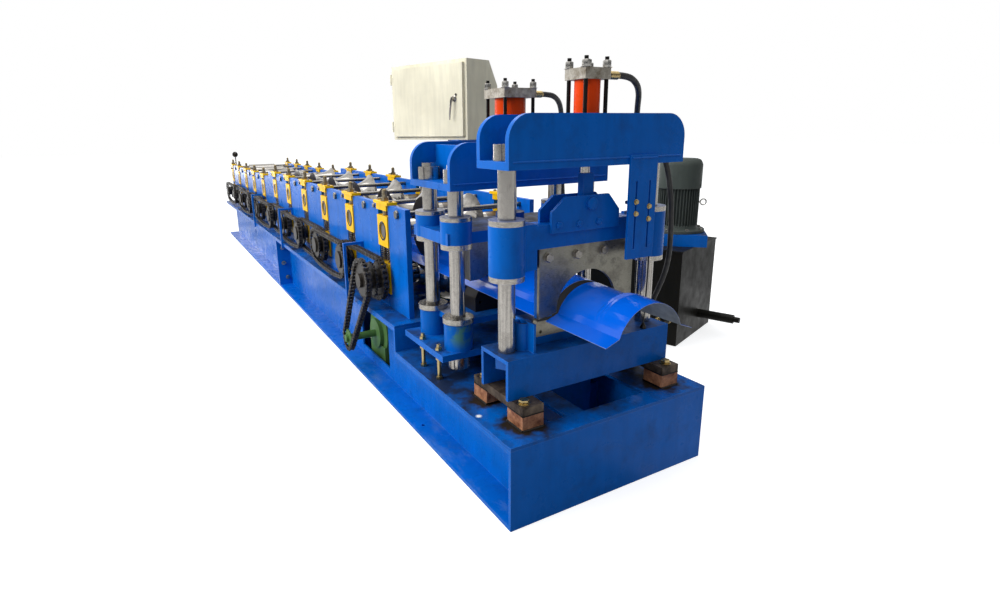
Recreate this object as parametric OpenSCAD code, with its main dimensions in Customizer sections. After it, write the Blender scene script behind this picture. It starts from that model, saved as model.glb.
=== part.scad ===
// Ridge-cap roll forming machine: welded base, eleven roll stations in two
// bolted halves, a step press, a hydraulic cutter, and its pump unit and
// control cabinet. Millimetres, +Z up. +Y runs from the exit end (nearest the
// operator) to the entry end. The origin is the middle of the base on the floor.

/* [Base] */
// Width over the outer flange edges
base_w = 883; // [860:1:900]
// Length of the base
base_l = 6704; // [6690:2:6740]
// Top of the low deck at the exit end
low_deck_z = 300; // [290:1:304]
// Top of the raised deck that carries the stations
deck_z = 421; // [415:1:425]
// Start of the raised deck, from the exit end
raised_y = 948; // [935:1:955]
// Bolted joint of the two base halves, from the exit end
joint_y = 3584; // [3560:1:3600]
// How far the flanges reach out past the web
flange_out = 104; // [100:1:106]
// Flange thickness
flange_t = 14; // [10:1:16]
// Deck plate thickness
deck_t = 12; // [10:1:14]

/* [Stations] */
// First station, from the exit end
station_y0 = 1276; // [1270:1:1282]
// Distance between stations
station_pitch = 519; // [515:1:522]
// First station of the far half
far_station_y = 4446; // [4440:1:4450]
// Height of the lower shafts
lower_z = 564; // [562:1:566]
// Height of the upper shafts, near half
near_upper_z = 793; // [791:1:796]
// Height of the upper shafts, far half
far_upper_z = 755; // [752:1:758]
// Shaft diameter
shaft_d = 70; // [64:1:70]
// Outer face of the side plates, from the centre line
plate_x = 344; // [340:1:346]
// Side plate thickness
plate_t = 25; // [20:1:26]
// Top of the near side plates
near_plate_top = 923; // [920:1:926]
// Top of the far side plates
far_plate_top = 875; // [873:1:878]

/* [Ridge sheet] */
// Radius of the finished arch
arch_r = 142; // [141:0.5:143]
// Half angle of the finished arch
arch_angle = 60; // [59:0.5:61]
// Height of the strip where it is still flat
strip_z = 632; // [630:1:634]
// Thickness, measured upright
sheet_t = 2; // [1.5:0.1:2]
// Gap between a roll and the sheet
roll_gap = 2; // [1.5:0.1:2.5]

/* [Cutter] */
// Centre of the cutter, from the exit end
cutter_y = 220; // [218:1:222]
// Post distance from the centre line
post_x = 316; // [314:1:318]
// Post diameter
post_d = 60; // [58:1:60]
// Height of the cutter beam's underside
cutter_beam_z = 1139; // [1135:1:1143]
// Outside diameter of the cutter sleeves
sleeve_d = 118; // [114:1:124]

/* [Press] */
// Centre of the press, from the exit end
press_y = 688; // [685:1:691]
// Half the distance between the front and back posts
press_post_dy = 113; // [110:1:115]
// Height of the press beam's underside
press_beam_z = 1045; // [1042:1:1050]

/* [Hidden] */
STATIONS = 11;
NEAR_STATIONS = 6;
FIXED = ["left_sill", "right_sill", "cross_members", "deck_plates", "left_side_plates",
  "right_side_plates", "bearing_blocks", "bearing_caps", "block_springs",
  "tie_rods", "motor_chain", "station_chains", "chain_guards",
  "drive_gearmotor", "entry_guide", "cutter_feet", "cutter_channel", "cutter_posts",
  "lower_dies", "cutter_top_beam", "cutter_cylinder", "sensor_plate", "press_base",
  "press_posts", "press_top_beam", "press_cylinder", "ridge_sheet", "hydraulic_tank",
  "pump_motor", "control_cabinet", "cabinet_post", "cutter_hose", "press_hose"];
MOVING = ["cutter_head", "cutter_blade", "press_head", "press_die", "cabinet_door"];
LOWER = [for (i = [1:STATIONS]) str("lower_roll_", i)];
UPPER = [for (i = [1:STATIONS]) str("upper_roll_", i)];

blue = "royalblue";
steel = "silver";
dark = "dimgray";
yellow = "gold";
fit = 0.3;                  // play of a fixed rod in its hole
run = 1;                    // play of a shaft or post that moves in its bore
web_t = 10;
web_x = base_w / 2 - flange_out - web_t / 2;
sill_w = 2 * flange_out + web_t;
end_plate_t = 12;
inner_flange_x = base_w / 2 - sill_w;
plate_joint_y = 4150;
plates_start = 1002;
plates_end = 6650;

// Everything is drawn from the exit end and moved to the origin here
module from_exit() translate([0, -base_l / 2, 0]) children();
module box(low, high) translate(low) cube(high - low);
module rod_x(x0, x1, y, z, r, fn = 48) translate([x0, y, z]) rotate([0, 90, 0])
  cylinder(h = x1 - x0, r = r, $fn = fn);
module rod_z(x, y, z0, z1, r, fn = 48) translate([x, y, z0]) cylinder(h = z1 - z0, r = r, $fn = fn);
module ring_z(x, y, z0, z1, r, bore) difference() {
  rod_z(x, y, z0, z1, r);
  rod_z(x, y, z0 - 1, z1 + 1, bore);
}
// An outline in Y and Z, extruded from x0 to x1
module side_outline(x0, x1) translate([x0, 0, 0]) rotate([90, 0, 90]) linear_extrude(x1 - x0) children();
// An outline in X and Z, extruded from y0 to y1
module front_outline(y0, y1) translate([0, y1, 0]) rotate([90, 0, 0]) linear_extrude(y1 - y0) children();

function station_y(i) = i < NEAR_STATIONS ? station_y0 + i * station_pitch
  : far_station_y + (i - NEAR_STATIONS) * station_pitch;
function upper_z(i) = i < NEAR_STATIONS ? near_upper_z : far_upper_z;
function plate_top(i) = i < NEAR_STATIONS ? near_plate_top : far_plate_top;

// How far the strip is formed at a station: 1 at the exit, 0 at the entry
function formed(i) = 1 - i / (STATIONS - 1);

// Half of the sheet's top line, from the ridge to the edge, at forming p
arc_half = arch_r * arch_angle * PI / 180;
riser_w = 9;
riser_h = 21;
flange_w = 56;
arch_steps = 9;
function sheet_half(p) = let(
    a = max(arch_angle * p, 0.01),
    r = arc_half / (a * PI / 180),
    base_z = strip_z + 29 * p,
    chord = r * sin(a),
    drop = 20 * p)
  concat(
    [for (k = [0:arch_steps]) [r * sin(a * k / arch_steps), base_z + r * (cos(a * k / arch_steps) - cos(a))]],
    [[chord + riser_w, base_z - riser_h * p],
     [chord + riser_w + flange_w * cos(drop), base_z - riser_h * p - flange_w * sin(drop)]]);
function mirrored(half) = [for (k = [len(half) - 1:-1:1]) [-half[k][0], half[k][1]]];
function sheet_line(p) = concat(mirrored(sheet_half(p)), sheet_half(p));
function lowered(line, d) = [for (q = line) [q[0], q[1] - d]];
function reversed(line) = [for (k = [len(line) - 1:-1:0]) line[k]];

// Base

anchor_x = base_w / 2 - 40;
anchor_ys = [760, 1900, 3040, 4140, 5280, 6420];
anchor_r = 9;
cut_out_y0 = 1312;
cut_out_y1 = 1732;
cut_out_z0 = 60;
cut_out_z1 = 380;
joint_plate_t = 16;
lift_hole_y = 5268;
lift_hole_z = 222;
module sill(s, cut_out) {
  x_low = min(s * base_w / 2, s * inner_flange_x);
  x_high = max(s * base_w / 2, s * inner_flange_x);
  low_top = low_deck_z - deck_t;
  high_top = deck_z - deck_t;
  step_y = raised_y + end_plate_t;
  from_exit() difference() {
    union() {
      difference() {
        side_outline(s * web_x - web_t / 2, s * web_x + web_t / 2)
          polygon([[end_plate_t, 0], [base_l, 0], [base_l, high_top], [step_y, high_top],
            [step_y, low_top], [end_plate_t, low_top]]);
        if (cut_out)
          box([s * web_x - web_t, cut_out_y0, cut_out_z0], [s * web_x + web_t, cut_out_y1, cut_out_z1]);
      }
      box([x_low, end_plate_t, 0], [x_high, base_l, flange_t]);
      box([x_low, end_plate_t, low_top - flange_t], [x_high, step_y, low_top]);
      box([x_low, step_y, high_top - flange_t], [x_high, base_l, high_top]);
      box([x_low, joint_y - joint_plate_t, 0], [x_high, joint_y + joint_plate_t, high_top]);
    }
    for (y = anchor_ys) rod_z(s * anchor_x, y, -1, flange_t + 1, anchor_r);
    rod_x(s * web_x - web_t, s * web_x + web_t, lift_hole_y, lift_hole_z, 24);
  }
}
module left_sill() color(blue) sill(-1, true);
module right_sill() color(blue) sill(1, false);

cross_beam_h = 160;
scrap_wall_y = 400;
module cross_beam(y, w) {
  inner = web_x - web_t / 2;
  front_outline(y - w / 2, y + w / 2) polygon([[-inner, flange_t], [-inner_flange_x, flange_t],
    [-inner_flange_x, 0], [inner_flange_x, 0], [inner_flange_x, flange_t], [inner, flange_t],
    [inner, cross_beam_h], [-inner, cross_beam_h]]);
}
module cross_members() color(blue) from_exit() {
  box([-base_w / 2, 0, 0], [base_w / 2, end_plate_t, low_deck_z - deck_t]);
  box([-base_w / 2, raised_y, low_deck_z], [base_w / 2, raised_y + end_plate_t, deck_z - deck_t]);
  box([-inner_flange_x, scrap_wall_y, 0], [inner_flange_x, scrap_wall_y + web_t, low_deck_z - deck_t]);
  for (y = [520, 1000, 2100, 2760, base_l / 2, 4500, 5500, base_l - 60]) cross_beam(y, 100);
}

// The low deck's scrap opening, with a bar welded under it, and windows in the
// raised deck below the deepest rolls
scrap_x0 = -236;
scrap_x1 = 201;
scrap_y0 = 80;
scrap_y1 = 360;
scrap_bar_x0 = -149;
scrap_bar_x1 = -69;
window_w = 300;
window_l = 230;
module deck_plates() color(blue) from_exit() {
  difference() {
    box([-base_w / 2, 0, low_deck_z - deck_t], [base_w / 2, raised_y + end_plate_t, low_deck_z]);
    box([scrap_x0, scrap_y0, 0], [scrap_x1, scrap_y1, deck_z]);
  }
  box([scrap_bar_x0, scrap_y0 - 30, low_deck_z - 2 * deck_t],
    [scrap_bar_x1, scrap_y1 + 30, low_deck_z - deck_t]);
  difference() {
    box([-base_w / 2, raised_y, deck_z - deck_t], [base_w / 2, base_l, deck_z]);
    for (i = [0:2]) translate([0, station_y(i), deck_z])
      cube([window_w, window_l, 3 * deck_t], center = true);
  }
}

// Side plates and what their slots hold

block_w = 130;
block_h = 150;
block_x0 = plate_x - plate_t - 7;
block_x1 = plate_x + 7;
slot_w = block_w + 2;
cap_drop = 28;
cap_rise = 14;
rod_ys = concat([plates_start + 88],
  [for (i = [0:NEAR_STATIONS - 2]) station_y(i) + station_pitch / 2],
  [for (i = [NEAR_STATIONS:STATIONS - 2]) station_y(i) + station_pitch / 2], [plates_end - 26]);
rod_drop = 30;
function rod_z_at(y) = (y < plate_joint_y ? near_plate_top : far_plate_top) - rod_drop;

module side_plates(s) {
  x0 = s > 0 ? plate_x - plate_t : -plate_x;
  from_exit() difference() {
    union() {
      box([x0, plates_start, deck_z], [x0 + plate_t, plate_joint_y, near_plate_top]);
      box([x0, plate_joint_y + 2, deck_z], [x0 + plate_t, plates_end, far_plate_top]);
    }
    for (i = [0:STATIONS - 1]) box([x0 - 1, station_y(i) - slot_w / 2, lower_z - block_h / 2],
      [x0 + plate_t + 1, station_y(i) + slot_w / 2, 1000]);
    for (y = rod_ys) rod_x(x0 - 1, x0 + plate_t + 1, y, rod_z_at(y), 12 + fit);
  }
}
module left_side_plates() color(blue) side_plates(-1);
module right_side_plates() color(blue) side_plates(1);

module bearing_block(s, y, z) difference() {
  box([s > 0 ? block_x0 : -block_x1, y - block_w / 2, z - block_h / 2],
    [s > 0 ? block_x1 : -block_x0, y + block_w / 2, z + block_h / 2]);
  rod_x(s > 0 ? block_x0 - 1 : -block_x1 - 1, s > 0 ? block_x1 + 1 : -block_x0 + 1, y, z, shaft_d / 2 + run);
}
module bearing_blocks() color(yellow) from_exit() for (i = [0:STATIONS - 1], s = [-1, 1]) {
  bearing_block(s, station_y(i), lower_z);
  bearing_block(s, station_y(i), upper_z(i));
}

screw_r = 12;
module bearing_cap(s, i) {
  x = s * (block_x0 + block_x1) / 2;
  y = station_y(i);
  top = plate_top(i);
  difference() {
    union() {
      box([x - 22, y - block_w / 2, top - cap_drop], [x + 22, y + block_w / 2, top]);
      box([x - 26, y - 92, top], [x + 26, y + 92, top + cap_rise]);
    }
    rod_z(x, y, top - 40, top + 40, screw_r + fit);
  }
  rod_z(x, y, upper_z(i) + block_h / 2, top + 64, screw_r);
  difference() {
    rod_z(x, y, top + cap_rise, top + cap_rise + 18, 21, 6);
    rod_z(x, y, top, top + 60, screw_r + fit);
  }
}
module bearing_caps() color(yellow) from_exit()
  for (i = [0:STATIONS - 1], s = [-1, 1]) bearing_cap(s, i);

spring_r = 16;
spring_pitch = 10;
module block_spring(h) {
  turns = round(h / spring_pitch);
  step = h / turns;
  rotate_extrude($fn = 24) polygon(concat([[0, 0]],
    [for (k = [0:turns - 1], q = [[spring_r - 5, 0], [spring_r, 0.3], [spring_r, 0.7]])
      [q[0], (k + q[1]) * step]],
    [[spring_r - 5, h], [0, h]]));
}
module block_springs() color(dark) from_exit()
  for (i = [0:STATIONS - 1], s = [-1, 1], d = [-40, 40])
    translate([s * (block_x0 + block_x1) / 2, station_y(i) + d, lower_z + block_h / 2])
      block_spring(upper_z(i) - lower_z - block_h);

module tie_rods() color(steel) from_exit() for (y = rod_ys) {
  z = rod_z_at(y);
  rod_x(-plate_x - 12, plate_x + 12, y, z, 12);
  for (s = [-1, 1]) rod_x(s > 0 ? plate_x : -plate_x - 12, s > 0 ? plate_x + 12 : -plate_x, y, z, 20, 6);
}

// Rolls: each follows the sheet's own line at its station

spacer_r = 48;
spacer_x = 300;
function roll_outline(line, z, sign, gap) = [for (q = line) [sign * (z - q[1]) - gap, q[0]]];
module roll(radii) rotate([0, 90, 0]) rotate_extrude($fn = 96)
  polygon(concat([[0, radii[0][1]]], radii, [[0, radii[len(radii) - 1][1]]]));
sprocket_teeth = 24;
sprocket_r = 86;
chain_a_x = -385;
chain_b_x = -420;
motor_chain_x = -470;
tooth = [[-0.32, 0.9], [-0.14, 1], [0.14, 1], [0.32, 0.9]];
function tooth_points(n, r) = [for (k = [0:n - 1], q = tooth)
  r * q[1] * [cos((k + q[0]) * 360 / n), sin((k + q[0]) * 360 / n)]];
module sprocket(x, r, n) translate([x - 4, 0, 0]) rotate([90, 0, 90]) linear_extrude(8)
  polygon(tooth_points(n, r));

module lower_roll(i) {
  line = lowered(sheet_line(formed(i)), sheet_t);
  color(steel) from_exit() translate([0, station_y(i), lower_z]) union() {
    rod_x(i == 0 ? -490 : -436, plate_x + 20, 0, 0, shaft_d / 2);
    rod_x(-spacer_x, spacer_x, 0, 0, spacer_r);
    roll(roll_outline(line, lower_z, -1, roll_gap));
    sprocket(chain_a_x, sprocket_r, sprocket_teeth);
    sprocket(chain_b_x, sprocket_r, sprocket_teeth);
    if (i == 0) sprocket(motor_chain_x, sprocket_r, sprocket_teeth);
    rod_x(-436, -366, 0, 0, 48);
  }
}
module upper_roll(i) {
  line = sheet_line(formed(i));
  color(steel) from_exit() translate([0, station_y(i), upper_z(i)]) union() {
    rod_x(-plate_x - 4, plate_x + 4, 0, 0, shaft_d / 2);
    rod_x(-spacer_x, spacer_x, 0, 0, spacer_r);
    roll(roll_outline(line, upper_z(i), 1, roll_gap));
  }
}

// Chains

chain_w = 24;
chain_in = 88;
chain_out = 108;
module loop_outline(y0, z0, r0, y1, z1, r1) hull() {
  translate([y0, z0]) circle(r = r0, $fn = 64);
  translate([y1, z1]) circle(r = r1, $fn = 64);
}
// A chain's outline round two equal sprockets. Its lower run sags.
chain_sag = 16;
module sagging_loop(y0, y1, r) {
  lower_run = [for (u = [0:0.125:1]) [y0 + (y1 - y0) * u, lower_z - r - chain_sag * 4 * u * (1 - u)]];
  for (y = [y0, y1]) translate([y, lower_z]) circle(r = r, $fn = 64);
  polygon(concat([[y1, lower_z + r], [y0, lower_z + r]], lower_run));
}
module chain_loop(x, y0, y1) side_outline(x - chain_w / 2, x + chain_w / 2) difference() {
  sagging_loop(y0, y1, chain_out);
  sagging_loop(y0, y1, chain_in);
}
module station_chains() color(dark) from_exit() for (i = [0:STATIONS - 2])
  chain_loop(i % 2 == 0 ? chain_a_x : chain_b_x, station_y(i), station_y(i + 1));

drive_y = 1560;
drive_z = 180;
drive_r = 48;
module motor_chain() color(dark) from_exit()
  side_outline(motor_chain_x - chain_w / 2, motor_chain_x + chain_w / 2) difference() {
    loop_outline(station_y0, lower_z, chain_out, drive_y, drive_z, drive_r + 22);
    loop_outline(station_y0, lower_z, chain_in, drive_y, drive_z, drive_r + 2);
  }

guard_ys = [1600, 3272, 4525];
guard_top = 692;
guard_bar = 14;
guard_x = base_w / 2 + guard_bar;
module chain_guards() color(blue) from_exit()
  for (y = guard_ys) translate([0, y - guard_bar / 2, 0]) union() {
  box([-guard_x, 0, 380], [guard_bar - guard_x, guard_bar, guard_top]);
  box([-guard_x, 0, guard_top - guard_bar], [-plate_x, guard_bar, guard_top]);
  box([-plate_x - guard_bar, 0, guard_top - 70], [-plate_x, guard_bar, guard_top]);
}

module drive_gearmotor() color("olivedrab") from_exit() union() {
  rod_x(-490, -300, drive_y, drive_z, 20);
  translate([0, drive_y, drive_z]) sprocket(motor_chain_x, drive_r, 13);
  rod_x(-322, -300, drive_y, drive_z, 80);
  rod_x(-300, -80, drive_y, drive_z + 10, 130);
  rod_x(-80, 220, drive_y, drive_z + 10, 95);
  box([-310, drive_y - 110, flange_t], [-90, drive_y + 110, drive_z - 60]);
}

// Entry end

lever_x = -282;
module entry_guide() color(steel) from_exit() {
  box([-plate_x, plates_end, 590], [plate_x, plates_end + 12, 616]);
  for (s = [-1, 1]) {
    box([s * 275 - 20, plates_end, 616], [s * 275 + 20, plates_end + 90, 650]);
    rod_z(s * 275, plates_end + 60, 650, 700, 16);
  }
  rod_z(lever_x, plates_end + 6, 610, 990, 8);
  translate([lever_x, plates_end + 6, 1000]) sphere(r = 24, $fn = 32);
}

// Cutter

foot_w = 84;
foot_shift = 6;
foot_x = 316;
foot_y0 = 67;
foot_y1 = 387;
foot_block_z = 353;
foot_block_l = 92;
channel_z = 383;
channel_top = 525;
channel_y0 = 133;
channel_y1 = 307;
channel_x = 366;
channel_t = 14;
module cutter_feet() color("peru") from_exit() for (s = [-1, 1]) {
  x0 = s * foot_x + foot_shift - foot_w / 2;
  for (y = [foot_y0, foot_y1 - foot_block_l])
    box([x0, y, low_deck_z], [x0 + foot_w, y + foot_block_l, foot_block_z]);
  box([x0, foot_y0, foot_block_z], [x0 + foot_w, foot_y1, channel_z]);
}
module cutter_channel() color(blue) from_exit() difference() {
  union() {
    difference() {
      box([-channel_x, channel_y0, channel_z], [channel_x, channel_y1, channel_top]);
      box([-channel_x - 1, channel_y0 + channel_t, channel_z - 1],
        [channel_x + 1, channel_y1 - channel_t, channel_top - channel_t]);
    }
    ring_z(-254, 216, channel_top - 4, 622, 29, 20);
    box([-252, 150, channel_top - 4], [-244, 262, 628]);
    box([-die_x - 8, cut_back_y, channel_top - 1], [die_x + 8, cut_back_y + 60, die_foot_z]);
  }
  for (s = [-1, 1]) rod_z(s * post_x, cutter_y, channel_z, channel_top + 1, post_d / 2 + fit);
}
// A round nut with four spanner slots
module slotted_nut(x, y, z0, z1, r) difference() {
  ring_z(x, y, z0, z1, r, post_d / 2 - 1);
  for (a = [0:90:270]) translate([x, y, 0]) rotate([0, 0, a + 45])
    box([r - 7, -7, z0 - 1], [r + 1, 7, z1 + 1]);
}
module cutter_posts() color(steel) from_exit() for (s = [-1, 1]) union() {
  rod_z(s * post_x, cutter_y, 470, 1210, post_d / 2);
  rod_z(s * post_x, cutter_y, 470, channel_top - channel_t, 44, 6);
  slotted_nut(s * post_x, cutter_y, cutter_beam_z + 25, 1215, 44);
}
// A fixed die under the sheet: its top is the sheet's own underside
die_x = 200;
die_foot_z = 552;
module lower_die(y0, y1, foot_z) {
  under = lowered(sheet_line(1), sheet_t);
  edge = under[len(under) - 1];
  shoulder_z = edge[1] - 30;
  front_outline(y0, y1) difference() {
    polygon(concat([[-die_x, foot_z], [-die_x, shoulder_z]], under,
      [[die_x, shoulder_z], [die_x, foot_z]]));
    for (s = [-1, 1]) translate([s * (die_x - 22), shoulder_z - 20]) circle(r = 6, $fn = 24);
  }
}
blade_y0 = 183;
blade_t = 12;
holder_t = 16;
cut_gap = 5;
cut_back_y = blade_y0 + blade_t + holder_t + cut_gap;
blade_half = 210;
blade_z = 629;
blade_top = 873;
blade_arch_r = 135;
blade_arch_z = 645;
// The blade's outline: its edge slopes like the sheet's flanges, under a wide arch
module blade_outline() difference() {
  polygon([[-blade_half, blade_top], [-blade_half, blade_z], [-blade_arch_r, blade_arch_z - 3],
    [blade_arch_r, blade_arch_z - 3], [blade_half, blade_z], [blade_half, blade_top]]);
  translate([0, blade_arch_z]) circle(r = blade_arch_r, $fn = 96);
}
// The holder behind the blade: a portal, cut back square from the blade's arch
holder_gap_half = 145;
holder_gap_top = 792;
module holder_outline(top) difference() {
  translate([-blade_half, blade_z]) square([2 * blade_half, top - blade_z]);
  translate([-holder_gap_half, blade_z - 1]) square([2 * holder_gap_half, holder_gap_top - blade_z + 1]);
}
module lower_dies() color(dark) from_exit() {
  lower_die(cut_back_y, cut_back_y + 24, die_foot_z);
  lower_die(press_y - 48, press_y + 48, press_table_top);
}
beam_l = 740;
module rounded_plate(h, r, y0, y1) front_outline(y0, y1) union() {
  square([beam_l, h - r]);
  translate([r, 0]) square([beam_l - 2 * r, h]);
  for (x = [r, beam_l - r]) translate([x, h - r]) circle(r = r, $fn = 64);
}
cutter_beam_h = 167;
module cutter_top_beam() color(blue) from_exit() difference() {
  union() {
    for (y = [124, 296]) translate([-beam_l / 2, 0, cutter_beam_z])
      rounded_plate(cutter_beam_h, 80, y, y + 20);
    box([-beam_l / 2, 144, cutter_beam_z], [beam_l / 2, 296, cutter_beam_z + 25]);
  }
  for (s = [-1, 1])
    rod_z(s * post_x, cutter_y, cutter_beam_z - 1, cutter_beam_z + 30, post_d / 2 + fit);
  rod_z(0, cutter_y, cutter_beam_z - 1, cutter_beam_z + 30, 20);
}
// A tie-rod cylinder standing on z0, hollow for its rod
module cylinder_unit(y, z0, z1, side, r, rod_r) {
  d = side / 2 - 10;
  difference() {
    union() {
      box([-side / 2, y - side / 2, z0], [side / 2, y + side / 2, z0 + 36]);
      rod_z(0, y, z0 + 30, z1 - 30, r, 64);
      box([-side / 2, y - side / 2, z1 - 36], [side / 2, y + side / 2, z1]);
      for (a = [-1, 1], b = [-1, 1]) {
        rod_z(a * d, y + b * d, z0 + 20, z1 + 34, 7, 24);
        rod_z(a * d, y + b * d, z1, z1 + 14, 13, 6);
      }
      rod_x(side / 2 - 4, side / 2 + 34, y, z1 - 18, 11, 6);
    }
    rod_z(0, y, z0 - 1, z1 - 36, rod_r + run);
  }
}
cutter_rod_r = 18;
module cutter_cylinder() color("orangered") from_exit()
  cylinder_unit(cutter_y, cutter_beam_z + 25, 1449, 106, 43, cutter_rod_r);
module sensor_plate() color(blue) from_exit() difference() {
  box([112, 114, 812], [236, 124, 1170]);
  for (x = [143, 205]) box([x - 4, 110, 846], [x + 4, 130, 1083]);
}

head_z0 = 793;
head_z1 = 960;
ring_h = 18;
head_web_y1 = cutter_y + 44;
hanger_y = [171, 238];
hanger_t = 12;
pin_x = -8;
pin_z = 1013;
// One of the two plates that hold the rod's tongue
module hanger() polygon([[-171, 923], [-171, 994], [-114, 1041], [72, 1041], [122, 985], [122, 923]]);
module cutter_head() color(blue) from_exit() difference() {
  union() {
    for (s = [-1, 1]) {
      rod_z(s * post_x, cutter_y, head_z0, head_z1, sleeve_d / 2, 64);
      rod_z(s * post_x, cutter_y, head_z0 - ring_h, head_z1 + ring_h, sleeve_d / 2 + 2, 64);
      box([s * 262 - 42, blade_y0, head_z0 + 12], [s * 262 + 42, head_web_y1, head_z1 - 2]);
    }
    box([-240, blade_y0, 873], [240, head_web_y1, 952]);
    front_outline(blade_y0 + blade_t, blade_y0 + blade_t + holder_t) holder_outline(blade_top + 2);
    for (y = hanger_y) front_outline(y, y + hanger_t) hanger();
    translate([pin_x, hanger_y[0] - 8, pin_z]) rotate([-90, 0, 0]) cylinder(h = 86, r = 21, $fn = 48);
    box([-22, 196, 990], [22, 226, 1112]);
    rod_z(0, cutter_y, 1090, 1400, cutter_rod_r);
  }
  for (s = [-1, 1])
    rod_z(s * post_x, cutter_y, head_z0 - 30, head_z1 + 30, post_d / 2 + run);
}
module cutter_blade() color(dark) from_exit()
  front_outline(blade_y0, blade_y0 + blade_t) blade_outline();

// Press

press_base_z = 394;
press_base_top = 420;
press_base_x = 415;
press_post_ys = [press_y - press_post_dy, press_y + press_post_dy];
press_table_top = 530;
bushing_r = 57;
bushing_ring_top = 551;
press_stud_ys = [588, 738];
module press_base() color(blue) from_exit() difference() {
  union() {
    box([-press_base_x, 520, press_base_z], [press_base_x, 885, press_base_top]);
    for (s = [-1, 1], y = press_post_ys) {
      rod_z(s * post_x, y, press_base_top - 5, press_table_top, bushing_r, 64);
      rod_z(s * post_x, y, press_table_top, bushing_ring_top, bushing_r + 5, 64);
    }
    box([-post_x, press_post_ys[0], press_table_top - 25],
      [post_x, press_post_ys[1], press_table_top]);
    for (s = [-1, 1], y = press_stud_ys) {
      rod_z(s * 398, y, low_deck_z, press_base_top + 26, 8, 24);
      for (z = [low_deck_z, press_base_z - 12, press_base_top]) rod_z(s * 398, y, z, z + 12, 14, 6);
    }
  }
  for (s = [-1, 1], y = press_post_ys)
    rod_z(s * post_x, y, 380, bushing_ring_top + 1, post_d / 2 + fit);
}
module press_posts() color(steel) from_exit() for (s = [-1, 1], y = press_post_ys) union() {
  rod_z(s * post_x, y, 336, press_beam_z + 90, post_d / 2);
  slotted_nut(s * post_x, y, 342, press_base_z, 44);
  slotted_nut(s * post_x, y, press_beam_z + 25, press_beam_z + 75, 44);
}
press_beam_h = 171;
module press_top_beam() color(blue) from_exit() difference() {
  union() {
    for (y = [510, 846]) translate([-beam_l / 2, 0, press_beam_z])
      rounded_plate(press_beam_h, 80, y, y + 20);
    box([-beam_l / 2, 530, press_beam_z], [beam_l / 2, 846, press_beam_z + 25]);
    for (s = [-1, 1])
      box([s * 255 - 6, 530, press_beam_z], [s * 255 + 6, 846, press_beam_z + press_beam_h - 12]);
  }
  for (s = [-1, 1], y = press_post_ys)
    rod_z(s * post_x, y, press_beam_z - 1, press_beam_z + 30, post_d / 2 + fit);
  rod_z(0, press_y, press_beam_z - 1, press_beam_z + 30, 32);
}
press_rod_r = 28;
module press_cylinder() color("orangered") from_exit()
  cylinder_unit(press_y, press_beam_z + 25, 1415, 150, 62, press_rod_r);
press_head_z = 843;
press_head_top = 930;
press_plate_t = 44;
press_die_x = 222;
press_die_gap = 45;
module press_head() color(blue) from_exit() difference() {
  union() {
    box([-post_x - bushing_r, press_post_ys[0] - 40, press_head_z],
      [post_x + bushing_r, press_post_ys[1] + 40, press_head_z + press_plate_t]);
    for (s = [-1, 1], y = press_post_ys) {
      rod_z(s * post_x, y, press_head_z, press_head_top, bushing_r, 64);
      rod_z(s * post_x, y, press_head_z - 20, press_head_top + 15, bushing_r + 4, 64);
    }
    rod_z(0, press_y, press_head_z + press_plate_t - 2, press_head_z + press_plate_t + 40, 60);
    rod_z(0, press_y, 920, 1350, press_rod_r);
  }
  for (s = [-1, 1], y = press_post_ys)
    rod_z(s * post_x, y, press_head_z - 30, press_head_top + 30, post_d / 2 + run);
}
module press_die() color(dark) from_exit() {
  under = [for (q = sheet_line(1)) [q[0], q[1] + press_die_gap]];
  front_outline(press_y - 48, press_y + 48)
    polygon(concat([[-press_die_x, press_head_z], [-press_die_x, under[0][1]]], under,
      [[press_die_x, under[0][1]], [press_die_x, press_head_z]]));
}

// The sheet: one finished piece past the blade, and the strip in the machine

sheet_exit_y = -125;
sheet_root_z = strip_z + 29;
sheet_rise = arch_r * (1 - cos(arch_angle));
// The sheet's top line with its arch raised by lift
function lifted(line, lift) =
  [for (q = line) [q[0], q[1] + lift * max(0, q[1] - sheet_root_z) / sheet_rise]];
function section_points(y, p, lift) = let(
    top = lifted(sheet_line(p), lift),
    low = reversed(lowered(top, sheet_t)))
  [for (q = concat(top, low)) [q[0], y, q[1]]];
// The step that the press makes at the end of each piece: two ribs, then a wider socket
function pressed_step(y) = [[y - 30, 1, 5], [y - 22, 1, 1], [y - 14, 1, 5], [y - 6, 1, -1], [y + 2, 1, 3],
  [y + 12, 1, -9], [y + 50, 1, -8]];
module sheet_loft(sections) {
  n = 2 * len(sheet_line(1));
  m = len(sections);
  polyhedron(points = [for (s = sections) each section_points(s[0], s[1], s[2])],
    faces = concat([[for (k = [0:n - 1]) k]],
      [for (j = [0:m - 2], k = [0:n - 1]) each [
        [j * n + k, (j + 1) * n + k, (j + 1) * n + (k + 1) % n],
        [j * n + k, (j + 1) * n + (k + 1) % n, j * n + (k + 1) % n]]],
      [[for (k = [n - 1:-1:0]) (m - 1) * n + k]]));
}
module ridge_sheet() color("dodgerblue") from_exit() {
  sheet_loft(concat([[sheet_exit_y, 1, 1]], pressed_step(0), [[blade_y0 - cut_gap, 1, 0]]));
  sheet_loft(concat([[cut_back_y, 1, 0]], pressed_step(345),
    [[480, 1, 0], [940, 1, 0]], [for (i = [0:STATIONS - 1]) [station_y(i), formed(i), 0]],
    [[base_l + 40, 0, 0]]));
}

// Pump unit and cabinet

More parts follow.
